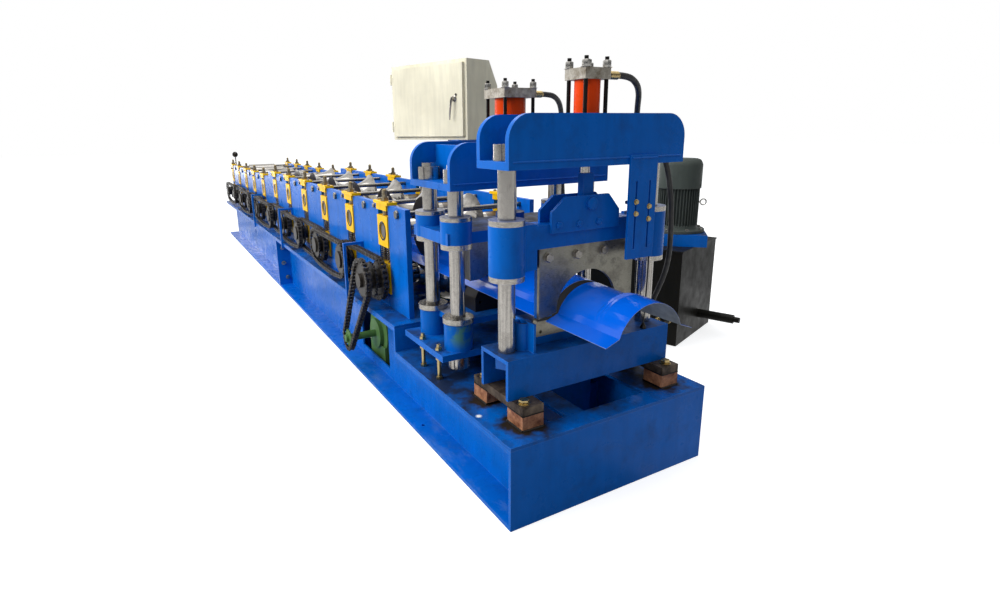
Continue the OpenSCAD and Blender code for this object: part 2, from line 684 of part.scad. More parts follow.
tank_corner = [1286, 871];
tank_turn = 20.5;
module at_tank() from_exit() translate([tank_corner[0], tank_corner[1], 0])
  rotate([0, 0, tank_turn]) children();
tank_w = 566;
tank_l = 620;
tank_h = 572;
port_ys = [100, 200];
port_z = 160;
port_out = 30;
module hydraulic_tank() color(dark) at_tank() union() {
  box([0, 0, 0], [tank_w, tank_l, tank_h - 10]);
  box([-4, -4, tank_h - 10], [tank_w + 4, tank_l + 4, tank_h]);
  for (y = port_ys) rod_x(-port_out, 2, y, port_z, 18, 6);
  translate([350, 2, 120]) rotate([90, 0, 0]) union() {
    cylinder(h = 120, r = 27, $fn = 32);
    cylinder(h = 190, r = 21, $fn = 32);
    cylinder(h = 215, r = 27, $fn = 32);
    cylinder(h = 250, r = 17, $fn = 32);
  }
}
// The motor stands on a turned mount box at the tank's near corner
motor_at = [285, 160];
mount_turn = -65.5;
mount_w = 340;
mount_top = tank_h + 70;
seat = 0.05;                // play between the mount box and the lid
fin_count = 32;
fins_z0 = mount_top + 40;
cowl_z0 = 905;
motor_top = 1075;
module fin_ring(r_low, r_high) polygon([for (k = [0:fin_count - 1],
  q = [[-0.25, r_low], [-0.2, r_high], [0.2, r_high], [0.25, r_low]])
  q[1] * [cos((k + q[0]) * 360 / fin_count), sin((k + q[0]) * 360 / fin_count)]]);
module pump_motor() color(dark) at_tank() translate([motor_at[0], motor_at[1], 0]) union() {
  rotate([0, 0, mount_turn])
    box([-mount_w / 2, -mount_w / 2, tank_h + seat], [mount_w / 2, mount_w / 2, mount_top]);
  rod_z(0, 0, mount_top, mount_top + 18, 165, 64);
  rod_z(0, 0, mount_top + 18, fins_z0, 122, 64);
  translate([0, 0, fins_z0]) linear_extrude(cowl_z0 - fins_z0) fin_ring(108, 123);
  rotate([0, 0, mount_turn]) box([100, -60, 760], [158, 60, 880]);
  rotate_extrude($fn = 96) polygon(concat([[0, cowl_z0], [130, cowl_z0]],
    [for (a = [0:15:90]) [110 + 20 * cos(a), motor_top - 20 + 20 * sin(a)]], [[0, motor_top]]));
}
cabinet_near = [558, 2060];
cabinet_turn = 17.8;
cabinet_z = 1197;
cabinet_h = 505;
cabinet_w = 740;
cabinet_d = 300;
module at_cabinet() from_exit() translate([cabinet_near[0], cabinet_near[1], cabinet_z])
  rotate([0, 0, cabinet_turn]) children();
door_t = 20;
door_gap = 1;
door_rim = 22;
hinge_pin_r = 4;
hinge_r = 8;
hinge_x = -door_t - door_gap;
hinge_y = cabinet_w - door_rim + hinge_r;
hinge_zs = [90, cabinet_h - 90];
// The door's hinge knuckles stand on its outer far edge, the cabinet's own above and below them
module knuckle(z0, z1, r) translate([hinge_x, hinge_y, 0]) rod_z(0, 0, z0, z1, r, 32);
module control_cabinet() color("ivory") at_cabinet() union() {
  translate([0, cabinet_w, 0]) rotate([90, 0, 0]) linear_extrude(cabinet_w)
    polygon([[0, 0], [cabinet_d, 0], [cabinet_d, 350], [217, cabinet_h], [0, cabinet_h]]);
  for (z = hinge_zs) {
    for (d = [-36, 16]) union() {
      knuckle(z + d, z + d + 20, hinge_r);
      box([hinge_x, hinge_y + 3, z + d], [2, hinge_y + hinge_r, z + d + 20]);
    }
    knuckle(z - 36, z + 36, hinge_pin_r);
  }
}
module cabinet_door() color("ivory") at_cabinet() difference() {
  union() {
    box([-door_t - door_gap, door_rim, door_rim], [-door_gap, cabinet_w - door_rim, cabinet_h - door_rim]);
    for (z = hinge_zs) {
      knuckle(z - 15.5, z + 15.5, hinge_r);
      box([hinge_x - 2, hinge_y - hinge_r - 12, z - 15.5], [hinge_x + 4, hinge_y - 2, z + 15.5]);
    }
  }
  for (z = hinge_zs) knuckle(z - 50, z + 50, hinge_pin_r + fit);
}
module cabinet_post() color(blue) from_exit() union() {
  box([560, 2150, 12], [640, 2230, cabinet_z - 12]);
  box([520, 2110, 0], [680, 2270, 12]);
  box([520, 2110, cabinet_z - 12], [680, 2270, cabinet_z]);
  box([base_w / 2, 2170, 380], [560, 2210, deck_z]);
}

// Hoses: the routes' points are from the exit end too

// The last two points of each lie on the axis of its port in the tank's side
function at_port(y, out) = [tank_corner[0] - out * cos(tank_turn) - y * sin(tank_turn),
  tank_corner[1] - out * sin(tank_turn) + y * cos(tank_turn), port_z];
cutter_hose_route = concat([[87, 220, 1431], [150, 220, 1431], [200, 226, 1424], [246, 244, 1404],
  [284, 272, 1376], [318, 308, 1338], [350, 342, 1280], [384, 372, 1190], [420, 398, 1080],
  [456, 420, 960], [490, 440, 830], [516, 456, 700], [532, 468, 570], [546, 480, 440], [562, 494, 310],
  [586, 514, 190], [622, 546, 90], [676, 590, 28], [740, 640, 12], [810, 696, 12], [880, 758, 12],
  [948, 818, 12], [1010, 862, 30], [1060, 892, 74], [1102, 909, 128]],
  [at_port(port_ys[0], 110), at_port(port_ys[0], port_out)]);
press_hose_route = concat([[109, 688, 1397], [170, 688, 1397], [220, 696, 1391], [268, 722, 1370],
  [312, 762, 1336], [350, 806, 1290], [384, 850, 1228], [414, 884, 1140], [442, 908, 1020],
  [468, 926, 890], [492, 940, 750], [514, 952, 610], [536, 964, 470], [560, 976, 330], [590, 990, 200],
  [634, 1006, 96], [694, 1020, 30], [762, 1022, 12], [830, 1010, 12], [896, 990, 12], [950, 976, 22],
  [990, 976, 48], [1029, 988, 84], [1068, 1003, 128]],
  [at_port(port_ys[1], 110), at_port(port_ys[1], port_out)]);
hose_r = 11;
function unit(v) = v / norm(v);
function heading(r, i) = unit(r[min(i + 1, len(r) - 1)] - r[max(i - 1, 0)]);
function side_of(r, i) = i == 0 ? unit(cross(heading(r, 0), [0, 0, 1])) :
  let(last = side_of(r, i - 1), t = heading(r, i)) unit(last - t * (last * t));
module swept_hose(route, radius, sides = 8) {
  n = len(route);
  rings = [for (i = [0:n - 1])
    let(u = side_of(route, i), v = cross(heading(route, i), u))
    [for (k = [0:sides - 1]) let(a = 360 * k / sides) route[i] + radius * (cos(a) * u + sin(a) * v)]];
  polyhedron(points = [for (ring = rings) each ring],
    faces = concat([[for (k = [0:sides - 1]) k]],
      [for (i = [0:n - 2], k = [0:sides - 1]) each [
        [i * sides + k, (i + 1) * sides + k, (i + 1) * sides + (k + 1) % sides],
        [i * sides + k, (i + 1) * sides + (k + 1) % sides, i * sides + (k + 1) % sides]]],
      [[for (k = [sides - 1:-1:0]) (n - 1) * sides + k]]));
}
module cutter_hose() color("black") from_exit() swept_hose(cutter_hose_route, hose_r);
module press_hose() color("black") from_exit() swept_hose(press_hose_route, hose_r);

left_sill();
right_sill();
cross_members();
deck_plates();
left_side_plates();
right_side_plates();
bearing_blocks();
bearing_caps();
block_springs();
tie_rods();
motor_chain();
station_chains();
chain_guards();
drive_gearmotor();
entry_guide();
cutter_feet();
cutter_channel();
cutter_posts();
lower_dies();
cutter_top_beam();
cutter_cylinder();
sensor_plate();
press_base();
press_posts();
press_top_beam();
press_cylinder();
ridge_sheet();
hydraulic_tank();
pump_motor();
control_cabinet();
cabinet_post();
cutter_hose();
press_hose();
cutter_head();
cutter_blade();
press_head();
press_die();
cabinet_door();
for (i = [0:STATIONS - 1]) {
  lower_roll(i);
  upper_roll(i);
}
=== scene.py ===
"""Looks for the ridge cap roll forming machine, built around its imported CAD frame. Metres, +Z up."""

import math

import bmesh
import bpy
from mathutils import Matrix, Vector


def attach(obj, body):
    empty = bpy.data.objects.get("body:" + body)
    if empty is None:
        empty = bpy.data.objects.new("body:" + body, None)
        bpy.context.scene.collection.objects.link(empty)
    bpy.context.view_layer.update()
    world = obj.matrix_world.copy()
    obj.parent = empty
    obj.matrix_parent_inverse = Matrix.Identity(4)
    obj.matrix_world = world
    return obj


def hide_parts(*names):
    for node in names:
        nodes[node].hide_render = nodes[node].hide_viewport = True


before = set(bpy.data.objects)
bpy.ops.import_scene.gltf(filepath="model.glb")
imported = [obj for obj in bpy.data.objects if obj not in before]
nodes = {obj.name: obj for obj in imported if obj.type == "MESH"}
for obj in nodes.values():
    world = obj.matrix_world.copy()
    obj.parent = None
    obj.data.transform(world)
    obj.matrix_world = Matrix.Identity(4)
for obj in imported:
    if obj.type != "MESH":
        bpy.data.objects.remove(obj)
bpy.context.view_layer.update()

# Dimensions that scene pieces share with the CAD source, from the exit end
HALF_LENGTH = 3.352
STATIONS = 11
NEAR_STATIONS = 6
STATION_PITCH = 0.519
NEAR_START_Y = 1.276
FAR_START_Y = 4.446
NEAR_UPPER_Z = 0.793
FAR_UPPER_Z = 0.755
NEAR_PLATE_TOP = 0.923
FAR_PLATE_TOP = 0.875
LOWER_Z = 0.564
PLATE_X = 0.344
BLOCK_X = 0.351
BLOCK_MID_X = 0.3315
BLOCK_HALF = 0.075
CUTTER_Y = 0.220
PRESS_Y = 0.688
CUTTER_CYLINDER = {"y": CUTTER_Y, "side": 0.106, "z_low": 1.164, "z_high": 1.449, "tube": 0.043}
PRESS_CYLINDER = {"y": PRESS_Y, "side": 0.150, "z_low": 1.070, "z_high": 1.415, "tube": 0.062}
POST_X = 0.316
CUTTER_SHIFT = 0.006
FOOT_X = 0.322
LOW_DECK_Z = 0.300
PLATE_STEP_Y = 4.150
CYLINDER_CAP_H = 0.036
NEAR_CAP_Z = (0.8945, 0.9375)
FAR_CAP_Z = (0.8465, 0.8895)


def station_y(i):
    if i < NEAR_STATIONS:
        return NEAR_START_Y + i * STATION_PITCH
    return FAR_START_Y + (i - NEAR_STATIONS) * STATION_PITCH


def upper_z(i):
    return NEAR_UPPER_Z if i < NEAR_STATIONS else FAR_UPPER_Z


def plate_top(i):
    return NEAR_PLATE_TOP if i < NEAR_STATIONS else FAR_PLATE_TOP


def at_exit(x, y, z):
    """A point given from the exit end, in the row frame."""
    return Vector((x, y - HALF_LENGTH, z))


def add_object(name, data):
    made = bpy.data.objects.new(name, data)
    bpy.context.scene.collection.objects.link(made)
    return made


# Camera

CAMERA_PLACE = (-1.3126, -4.691, 1.259)
CAMERA_YAW = math.radians(29.32)
CAMERA_PITCH = math.radians(14.57)
CAMERA_ROLL = math.radians(-0.82)
LENS_MM = 20.73
SENSOR_MM = 36
SHIFT_X = 0.0252
SHIFT_Y = -0.0204


def make_camera():
    data = bpy.data.cameras.new("camera")
    data.sensor_width = SENSOR_MM
    data.lens = LENS_MM
    data.shift_x = SHIFT_X
    data.shift_y = SHIFT_Y
    data.clip_end = 100
    level = Vector((math.cos(CAMERA_YAW), -math.sin(CAMERA_YAW), 0))
    forward = Vector((math.sin(CAMERA_YAW), math.cos(CAMERA_YAW), 0))
    ahead = math.cos(CAMERA_PITCH) * forward + Vector((0, 0, -math.sin(CAMERA_PITCH)))
    above = level.cross(ahead)
    c = math.cos(CAMERA_ROLL)
    s = math.sin(CAMERA_ROLL)
    right = c * level + s * above
    up = -s * level + c * above
    turn = Matrix((right, up, -ahead)).transposed().to_4x4()
    camera = add_object("camera", data)
    camera.matrix_world = Matrix.Translation(CAMERA_PLACE) @ turn
    bpy.context.scene.camera = camera


make_camera()

# Materials


def linear(r, g, b):
    """The linear colour of an 8-bit one."""
    return tuple(pow(v / 255, 2.2) for v in (r, g, b)) + (1,)


BUMP_EDGE = 0.0012
EDGE_WEAR_AND_HIGHLIGHT_RADIUS = 0.004


class Nodes:
    """A node tree, with short calls for the nodes used here."""

    def __init__(self, tree, coordinates):
        self.tree = tree
        self.place = self.add("ShaderNodeTexCoord").outputs[coordinates]

    def add(self, kind, inputs=None, **settings):
        made = self.tree.nodes.new(kind)
        for key, value in settings.items():
            setattr(made, key, value)
        for key, source in (inputs or {}).items():
            self.join(source, made.inputs[key])
        return made

    def join(self, source, target):
        if isinstance(source, (int, float, tuple, list, Vector)):
            target.default_value = source
        else:
            self.tree.links.new(source, target)

    def noise(self, scale, detail=4, stretch=(1, 1, 1), rough=0.55):
        mapping = self.add("ShaderNodeMapping", {"Scale": stretch, "Vector": self.place})
        inputs = {"Scale": scale, "Detail": detail, "Roughness": rough, "Vector": mapping.outputs[0]}
        return self.add("ShaderNodeTexNoise", inputs).outputs["Fac"]

    def ramp(self, value, low, high, out_low=0.0, out_high=1.0):
        inputs = {"From Min": low, "From Max": high, "To Min": out_low, "To Max": out_high, "Value": value}
        return self.add("ShaderNodeMapRange", inputs).outputs[0]

    def math(self, operation, a, b=0.0):
        return self.add("ShaderNodeMath", {0: a, 1: b}, operation=operation).outputs[0]

    def times(self, a, b):
        return self.math("MULTIPLY", a, b)

    def greater(self, a, b):
        return self.math("MAXIMUM", a, b)

    def inverse(self, value):
        return self.math("SUBTRACT", 1.0, value)

    def mix(self, share, first, second):
        return self.add("ShaderNodeMix", {0: share, 6: first, 7: second}, data_type="RGBA").outputs[2]

    def axis(self, letter, source=None):
        return self.add("ShaderNodeSeparateXYZ", {0: source or self.place}).outputs[letter]


class Shader(Nodes):
    """A material, with masks by place and direction."""

    def __init__(self, name):
        self.material = bpy.data.materials.new(name)
        self.material.use_nodes = True
        self.surface = self.material.node_tree.nodes["Principled BSDF"]
        super().__init__(self.material.node_tree, "Object")

    def band(self, letter, low, high, soft=0.002):
        """1 where the coordinate is between low and high."""
        value = self.axis(letter)
        above = self.ramp(value, low - soft, low + soft)
        below = self.ramp(value, high + soft, high - soft)
        return self.times(above, below)

    def beyond(self, letter, limit, soft=0.002):
        """1 where the coordinate's size, left or right, is over a limit."""
        return self.ramp(self.math("ABSOLUTE", self.axis(letter)), limit - soft, limit + soft)

    def within(self, letter, limit, soft=0.002):
        """1 where the coordinate's size is under a limit."""
        return self.ramp(self.math("ABSOLUTE", self.axis(letter)), limit + soft, limit - soft)

    def distance(self, point):
        made = self.add("ShaderNodeVectorMath", {0: self.place, 1: point}, operation="DISTANCE")
        return made.outputs["Value"]

    def near(self, point, radius, soft):
        """1 within radius of a point."""
        return self.ramp(self.distance(point), radius + soft, radius - soft)

    def around(self, x, y, radius, soft=0.0015):
        """1 within radius of an upright axis."""
        dx = self.math("SUBTRACT", self.axis("X"), x)
        dy = self.math("SUBTRACT", self.axis("Y"), y)
        squares = self.math("ADD", self.times(dx, dx), self.times(dy, dy))
        return self.ramp(self.math("SQRT", squares), radius + soft, radius - soft)

    def normal(self, letter):
        return self.axis(letter, self.add("ShaderNodeNewGeometry").outputs["Normal"])

    def facing(self, letter):
        """How far the surface faces along a direction, from 0 to 1."""
        return self.math("ABSOLUTE", self.normal(letter))

    def upward(self):
        return self.ramp(self.normal("Z"), 0.6, 0.9)

    def rounded(self, radius):
        """The normal, blended across edges."""
        return self.add("ShaderNodeBevel", {"Radius": radius}, samples=4).outputs[0]

    def edges(self):
        """1 along outer and inner edges, from how far a rounded normal leans away."""
        true_normal = self.add("ShaderNodeNewGeometry").outputs["Normal"]
        inputs = {0: self.rounded(EDGE_WEAR_AND_HIGHLIGHT_RADIUS), 1: true_normal}
        dot = self.add("ShaderNodeVectorMath", inputs, operation="DOT_PRODUCT")
        return self.ramp(dot.outputs["Value"], 0.995, 0.86)

    def set(self, socket, source):
        self.join(source, self.surface.inputs[socket])

    def colour(self, source):
        self.set("Base Color", source)

    def rough(self, source):
        self.set("Roughness", source)

    def metal(self, source):
        self.set("Metallic", source)

    def bump(self, height, distance, strength):
        inputs = {"Strength": strength, "Distance": distance, "Height": height}
        inputs["Normal"] = self.rounded(BUMP_EDGE)
        self.set("Normal", self.add("ShaderNodeBump", inputs).outputs[0])


def tinted(colour, factor):
    return tuple(min(1.0, v * factor) for v in colour[:3]) + (1,)


DIRT = (0.012, 0.012, 0.012, 1)
BROWN_STAIN = (0.10, 0.065, 0.035, 1)


def paint(name, colour, rough=0.3, dirt=0.35, dirt_colour=DIRT, coat=0.02, oil=0.0, wear_and_highlight=0.3):
    """Brushed or sprayed enamel: uneven gloss, faint runs, paler edges that are partly worn paint and
    partly a painted highlight, dust and oil.
    """
    s = Shader(name)
    cloudy = s.noise(2.3, 5)
    body = s.mix(s.ramp(cloudy, 0.3, 0.7), tinted(colour, 0.84), tinted(colour, 1.12))
    streaks = s.ramp(s.noise(5, 6, (6, 6, 0.7)), 0.4, 0.75, 0, 0.35)
    body = s.mix(streaks, body, tinted(colour, 0.6))
    # Paler edges: partly worn paint, partly a painted highlight where edges catch the light.
    rubbed_and_highlit_edges = s.times(s.edges(), s.ramp(s.noise(12, 5), 0.35, 0.65, 0.1, wear_and_highlight))
    body = s.mix(rubbed_and_highlit_edges, body, tuple(min(1.0, 0.12 + 1.5 * v) for v in colour[:3]) + (1,))
    grime = s.ramp(s.noise(9, 9, rough=0.68), 0.52, 0.78, 0, dirt)
    if oil:
        pools = s.times(s.upward(), s.ramp(s.noise(4.5, 9, rough=0.66), 0.40, 0.60, 0, oil))
        grime = s.greater(grime, pools)
    s.colour(s.mix(grime, body, dirt_colour))
    worn = s.ramp(s.noise(14, 7), 0.3, 0.75, rough * 0.75, rough * 1.5)
    s.rough(s.math("ADD", worn, s.times(grime, 0.2)))
    s.set("Specular IOR Level", 0.1)
    s.set("Coat Weight", coat)
    s.set("Coat Roughness", 0.08)
    peel = s.math("ADD", s.noise(160, 2), s.times(s.noise(18, 3), 2.5))
    s.bump(peel, 0.0006, 0.35)
    return s


def overlay(s, mask, colour, rough, metal=0.0):
    """Another finish on part of a surface, where the mask is 1."""
    for socket, value in (("Base Color", colour), ("Roughness", rough), ("Metallic", metal)):
        target = s.surface.inputs[socket]
        source = target.links[0].from_socket if target.links else target.default_value
        if socket == "Base Color":
            s.colour(s.mix(mask, source if target.links else tuple(source), value))
        else:
            s.set(socket, s.math("ADD", s.times(source, s.inverse(mask)), s.times(value, mask)))


def bare_metal(name, colour, rough=0.28, stretch=(1, 1, 1), stain=0.35, stain_colour=BROWN_STAIN):
    """Ground or turned steel with fine scratches and stains."""
    s = Shader(name)
    lines = s.noise(90, 6, stretch)
    body = s.mix(s.ramp(lines, 0.3, 0.7), tinted(colour, 0.8), tinted(colour, 1.12))
    spots = s.ramp(s.noise(16, 9, rough=0.7), 0.5, 0.72, 0, stain)
    s.colour(s.mix(spots, body, stain_colour))
    s.metal(s.ramp(spots, 0, 1, 1.0, 0.35))
    scratched = s.ramp(lines, 0.2, 0.8, rough * 0.6, rough * 1.5)
    s.rough(s.math("ADD", scratched, s.times(spots, 0.4)))
    s.bump(lines, 0.0003, 0.12)
    return s


BLUE = linear(8, 98, 190)
YELLOW = linear(250, 190, 14)
IVORY = linear(228, 222, 198)
ORANGE = linear(228, 70, 22)
CHROME = (0.47, 0.445, 0.41, 1)

blue = paint("blue_enamel", BLUE).material
yellow = paint("yellow_enamel", YELLOW, 0.34, 0.3).material
green = paint("green_enamel", linear(84, 120, 70), 0.4, 0.45).material
ivory = paint("ivory_powder_coat", IVORY, 0.38, 0.12, (0.35, 0.30, 0.2, 1), wear_and_highlight=0.2).material
black_paint = paint("black_enamel", linear(34, 33, 29), 0.36, 0.3, wear_and_highlight=0.3).material
grey = paint("grey_enamel", linear(74, 80, 76), 0.42, 0.3, wear_and_highlight=0.3).material
chrome = bare_metal("polished_steel", CHROME, 0.17, (1, 1, 12), 0.3).material
rod_steel = bare_metal("dull_rods", (0.20, 0.19, 0.175, 1), 0.24, (0.2, 3, 3), 0.45).material
zinc = bare_metal("zinc_plated", (0.60, 0.58, 0.54, 1), 0.26, stain=0.2).material
brass = bare_metal("yellow_zinc", (0.58, 0.44, 0.20, 1), 0.28, stain=0.25).material
nut_steel = bare_metal("nut_steel", (0.33, 0.31, 0.28, 1), 0.3, stain=0.5).material
spring_steel = bare_metal("spring_steel", (0.17, 0.15, 0.13, 1), 0.32, stain=0.4).material
black_oxide = bare_metal("black_oxide", (0.035, 0.033, 0.032, 1), 0.35, stain=0.2).material

BARE_TURNED = ((0.34, 0.31, 0.27, 1), (0.62, 0.59, 0.54, 1))
CAST_CAP = ((0.62, 0.58, 0.50, 1), (0.20, 0.16, 0.11, 1))
SCREW_STEEL = ((0.42, 0.36, 0.24, 1), (0.16, 0.13, 0.09, 1))
SPROCKET_GREASE = ((0.008, 0.007, 0.006, 1), (0.05, 0.04, 0.03, 1))
CHAIN_GREASE = ((0.007, 0.006, 0.005, 1), (0.055, 0.044, 0.034, 1))
STUD_ZINC = (0.58, 0.46, 0.22, 1)
FITTING_BRASS = (0.55, 0.42, 0.2, 1)
ROD_STEEL = (0.60, 0.57, 0.53, 1)
SPACER_STEEL = (0.20, 0.18, 0.16, 1)
ROLL_SIDE_PAINTED_SHADE = (0.03, 0.028, 0.027, 1)
OILY_BLACK = (0.03, 0.027, 0.024, 1)
PAINTED_SHADE_BLACK = (0.014, 0.014, 0.016, 1)
TIE_ROD_BLACK = (0.018, 0.017, 0.016, 1)
BURNT_PAINT = (0.016, 0.012, 0.009, 1)
WHITE_CHIP = (0.75, 0.75, 0.74, 1)
HOSE_BLACK = ((0.011, 0.011, 0.011, 1), (0.04, 0.037, 0.033, 1))


def row_y(y):
    return y - HALF_LENGTH


def post_steel():
    """Polished posts, with the nuts under the channel painted."""
    s = bare_metal("polished_posts", CHROME, 0.17, (1, 1, 12), 0.3)
    overlay(s, s.ramp(s.axis("Z"), 0.5112, 0.5108), tinted(BLUE, 0.7), 0.35)
    return s.material


def oily_deck():
    """The decks' blue under oil, with burnt paint round the welded feet."""
    s = paint("oily_deck_enamel", tinted(BLUE, 0.85), 0.22, 0.5, oil=0.9)
    ragged = s.ramp(s.noise(22, 6), 0.3, 0.7, -0.03, 0.03)
    for x in (-FOOT_X, FOOT_X):
        for y in (0.113, 0.341):
            reach = s.distance(at_exit(x, y, LOW_DECK_Z))
            ring = s.ramp(s.math("ADD", reach, ragged), 0.105, 0.06)
            overlay(s, ring, BURNT_PAINT, 0.55)
    chip = s.near(at_exit(-0.42, 0.236, LOW_DECK_Z), 0.009, 0.004)
    overlay(s, chip, WHITE_CHIP, 0.5)
    return s.material


def scuffed_sills():
    """The base's blue with rubbed, pale scuffs on the flange and wet patches."""
    s = paint("scuffed_base_enamel", BLUE, 0.26, 0.3)
    low = s.ramp(s.axis("Z"), 0.02, 0.01)
    scuffs = s.times(low, s.ramp(s.noise(8, 9, (1, 0.35, 1), 0.72), 0.55, 0.66, 0, 0.4))
    overlay(s, scuffs, linear(120, 150, 190), 0.45)
    return s.material


def oily_plates():
    return paint("oily_blue_enamel", tinted(BLUE, 0.92), 0.24, 0.45, oil=0.8).material


def machined_on_blue(name, z_bands, x_from, oil=0.0):
    """Blue castings whose end rings are left as turned steel."""
    s = paint(name, BLUE, oil=oil)
    mask = 0.0
    for z_low, z_high in z_bands:
        ring = s.times(s.band("Z", z_low, z_high, 0.0008), s.beyond("X", x_from))
        mask = s.greater(mask, ring)
    steel = s.mix(s.ramp(s.noise(60, 5, (1, 1, 6)), 0.3, 0.7), *BARE_TURNED)
    overlay(s, mask, steel, 0.26, 1.0)
    return s


def head_paint(name, z_bands, x_from, rod_z, oil=0.0):
    s = machined_on_blue(name, z_bands, x_from, oil)
    above = s.ramp(s.axis("Z"), rod_z - 0.001, rod_z + 0.001)
    overlay(s, s.times(above, s.within("X", 0.032)), ROD_STEEL, 0.18, 1.0)
    return s.material


def cap_paint():
    """Yellow caps, with their screws and nuts left as steel."""
    s = paint("yellow_cap_enamel", YELLOW, 0.34, 0.35)
    far = s.ramp(s.axis("Y"), row_y(PLATE_STEP_Y - 0.001), row_y(PLATE_STEP_Y + 0.001))
    near_band = s.times(s.band("Z", *NEAR_CAP_Z, 0.0006), s.inverse(far))
    far_band = s.times(s.band("Z", *FAR_CAP_Z, 0.0006), far)
    screw = s.inverse(s.greater(near_band, far_band))
    steel = s.mix(s.ramp(s.noise(50, 5), 0.35, 0.7), *SCREW_STEEL)
    overlay(s, screw, steel, 0.34, 0.9)
    return s.material


def cylinder_paint(name, y, side, z_low, z_high, tube):
    """Orange tube between stained steel caps, black tie rods, a brass fitting."""
    s = paint(name, ORANGE, 0.26, 0.3)
    inside = s.around(0, row_y(y), tube + 0.0015, 0.0006)
    rods = s.inverse(inside)
    overlay(s, rods, TIE_ROD_BLACK, 0.35, 0.5)
    middle = s.band("Z", z_low + CYLINDER_CAP_H, z_high - CYLINDER_CAP_H, 0.0004)
    below_top = s.ramp(s.axis("Z"), z_high + 0.0015, z_high + 0.0005)
    caps = s.times(s.inverse(middle), below_top)
    steel = s.mix(s.ramp(s.noise(34, 8, rough=0.7), 0.35, 0.68), *CAST_CAP)
    overlay(s, caps, steel, 0.42, 0.55)
    fitting = s.ramp(s.axis("X"), side / 2 + 0.0005, side / 2 + 0.0015)
    overlay(s, fitting, FITTING_BRASS, 0.28, 1.0)
    return s.material


def roll_steel():
    """Chromed faces, flat sides painted near black as shade, dull spacers, and greasy sprockets outside the
    plates.
    """
    s = bare_metal("chromed_rolls", CHROME, 0.12, (12, 1, 1), 0.14)
    # Painted shade: the flat sides of the roll discs are painted near black.
    sides = s.times(s.ramp(s.facing("X"), 0.80, 0.97), s.within("X", 0.220, 0.005))
    overlay(s, sides, ROLL_SIDE_PAINTED_SHADE, 0.3, 0.8)
    overlay(s, s.beyond("X", 0.216), SPACER_STEEL, 0.3, 1.0)
    clumps = s.mix(s.ramp(s.noise(40, 8, rough=0.7), 0.40, 0.72), *SPROCKET_GREASE)
    overlay(s, s.beyond("X", 0.353), clumps, 0.4, 0.1)
    return s.material


def stained_steel(name, colour, split_y=None, painted_shade_face=None):
    """Ground steel with stains. Past split_y it is black and oily. High on one front face it is painted
    near black as shade.
    """
    s = bare_metal(name, colour, 0.34, (1, 1, 4), 0.5)
    scribble = s.ramp(s.noise(11, 9, rough=0.8), 0.56, 0.60, 0, 0.5)
    overlay(s, scribble, tinted(colour, 0.45), 0.42, 0.8)
    if split_y is not None:
        black = s.ramp(s.axis("Y"), row_y(split_y) - 0.001, row_y(split_y) + 0.001)
        overlay(s, black, OILY_BLACK, 0.3, 0.6)
    if painted_shade_face is not None:
        # Painted shade: this front face, high up, is painted near black for the shadow in the gap by the
        # blade.
        y, z = painted_shade_face
        above = s.ramp(s.axis("Z"), z, z + 0.004)
        face = s.times(s.band("Y", row_y(y) - 0.002, row_y(y) + 0.030), above)
        overlay(s, face, PAINTED_SHADE_BLACK, 0.5, 0.3)
    return s.material


def bushed_base():
    s = machined_on_blue("press_base_enamel", [(0.530, 0.552)], 0.24, oil=0.8)
    studs = s.times(s.beyond("X", 0.383), s.inverse(s.band("Z", 0.3935, 0.4205, 0.0004)))
    overlay(s, studs, STUD_ZINC, 0.28, 1.0)
    stubs = s.times(s.beyond("X", 0.383), s.within("X", 0.4125, 0.0005))
    overlay(s, s.times(stubs, s.ramp(s.axis("Z"), 0.4203, 0.4208)), STUD_ZINC, 0.28, 1.0)
    smudge = s.near(at_exit(-0.332, 0.52, 0.50), 0.05, 0.02)
    teal = s.times(smudge, s.ramp(s.noise(20, 6), 0.42, 0.55))
    overlay(s, teal, linear(70, 120, 120), 0.4)
    return s.material


def greasy_chain():
    s = Shader("greasy_chain")
    clumps = s.noise(40, 8, rough=0.7)
    s.colour(s.mix(s.ramp(clumps, 0.40, 0.72), *CHAIN_GREASE))
    s.metal(0.1)
    s.rough(s.ramp(s.noise(28, 6), 0.3, 0.7, 0.28, 0.62))
    s.bump(clumps, 0.0015, 0.7)
    return s.material


def rubber():
    s = Shader("hose_rubber")
    s.colour(s.mix(s.ramp(s.noise(22, 6), 0.45, 0.75), *HOSE_BLACK))
    s.rough(s.ramp(s.noise(35, 4), 0.3, 0.7, 0.36, 0.6))
    s.bump(s.noise(300, 3), 0.0004, 0.5)
    return s.material


def coated_sheet():
    """Glossy colour-coated steel on top, grey primer underneath."""
    s = Shader("coated_sheet")
    top_side = s.ramp(s.normal("Z"), -0.05, 0.05)
    top = s.mix(s.ramp(s.noise(3, 4), 0.3, 0.7), linear(2, 84, 196), linear(5, 96, 212))
    under = s.mix(s.ramp(s.noise(30, 5), 0.3, 0.7), linear(128, 134, 140), linear(160, 166, 170))
    s.colour(s.mix(top_side, under, top))
    s.rough(s.ramp(top_side, 0, 1, 0.42, 0.17))
    s.set("Coat Weight", 0.35)
    s.set("Coat Roughness", 0.06)
    s.bump(s.noise(5, 3), 0.002, 0.25)
    return s.material


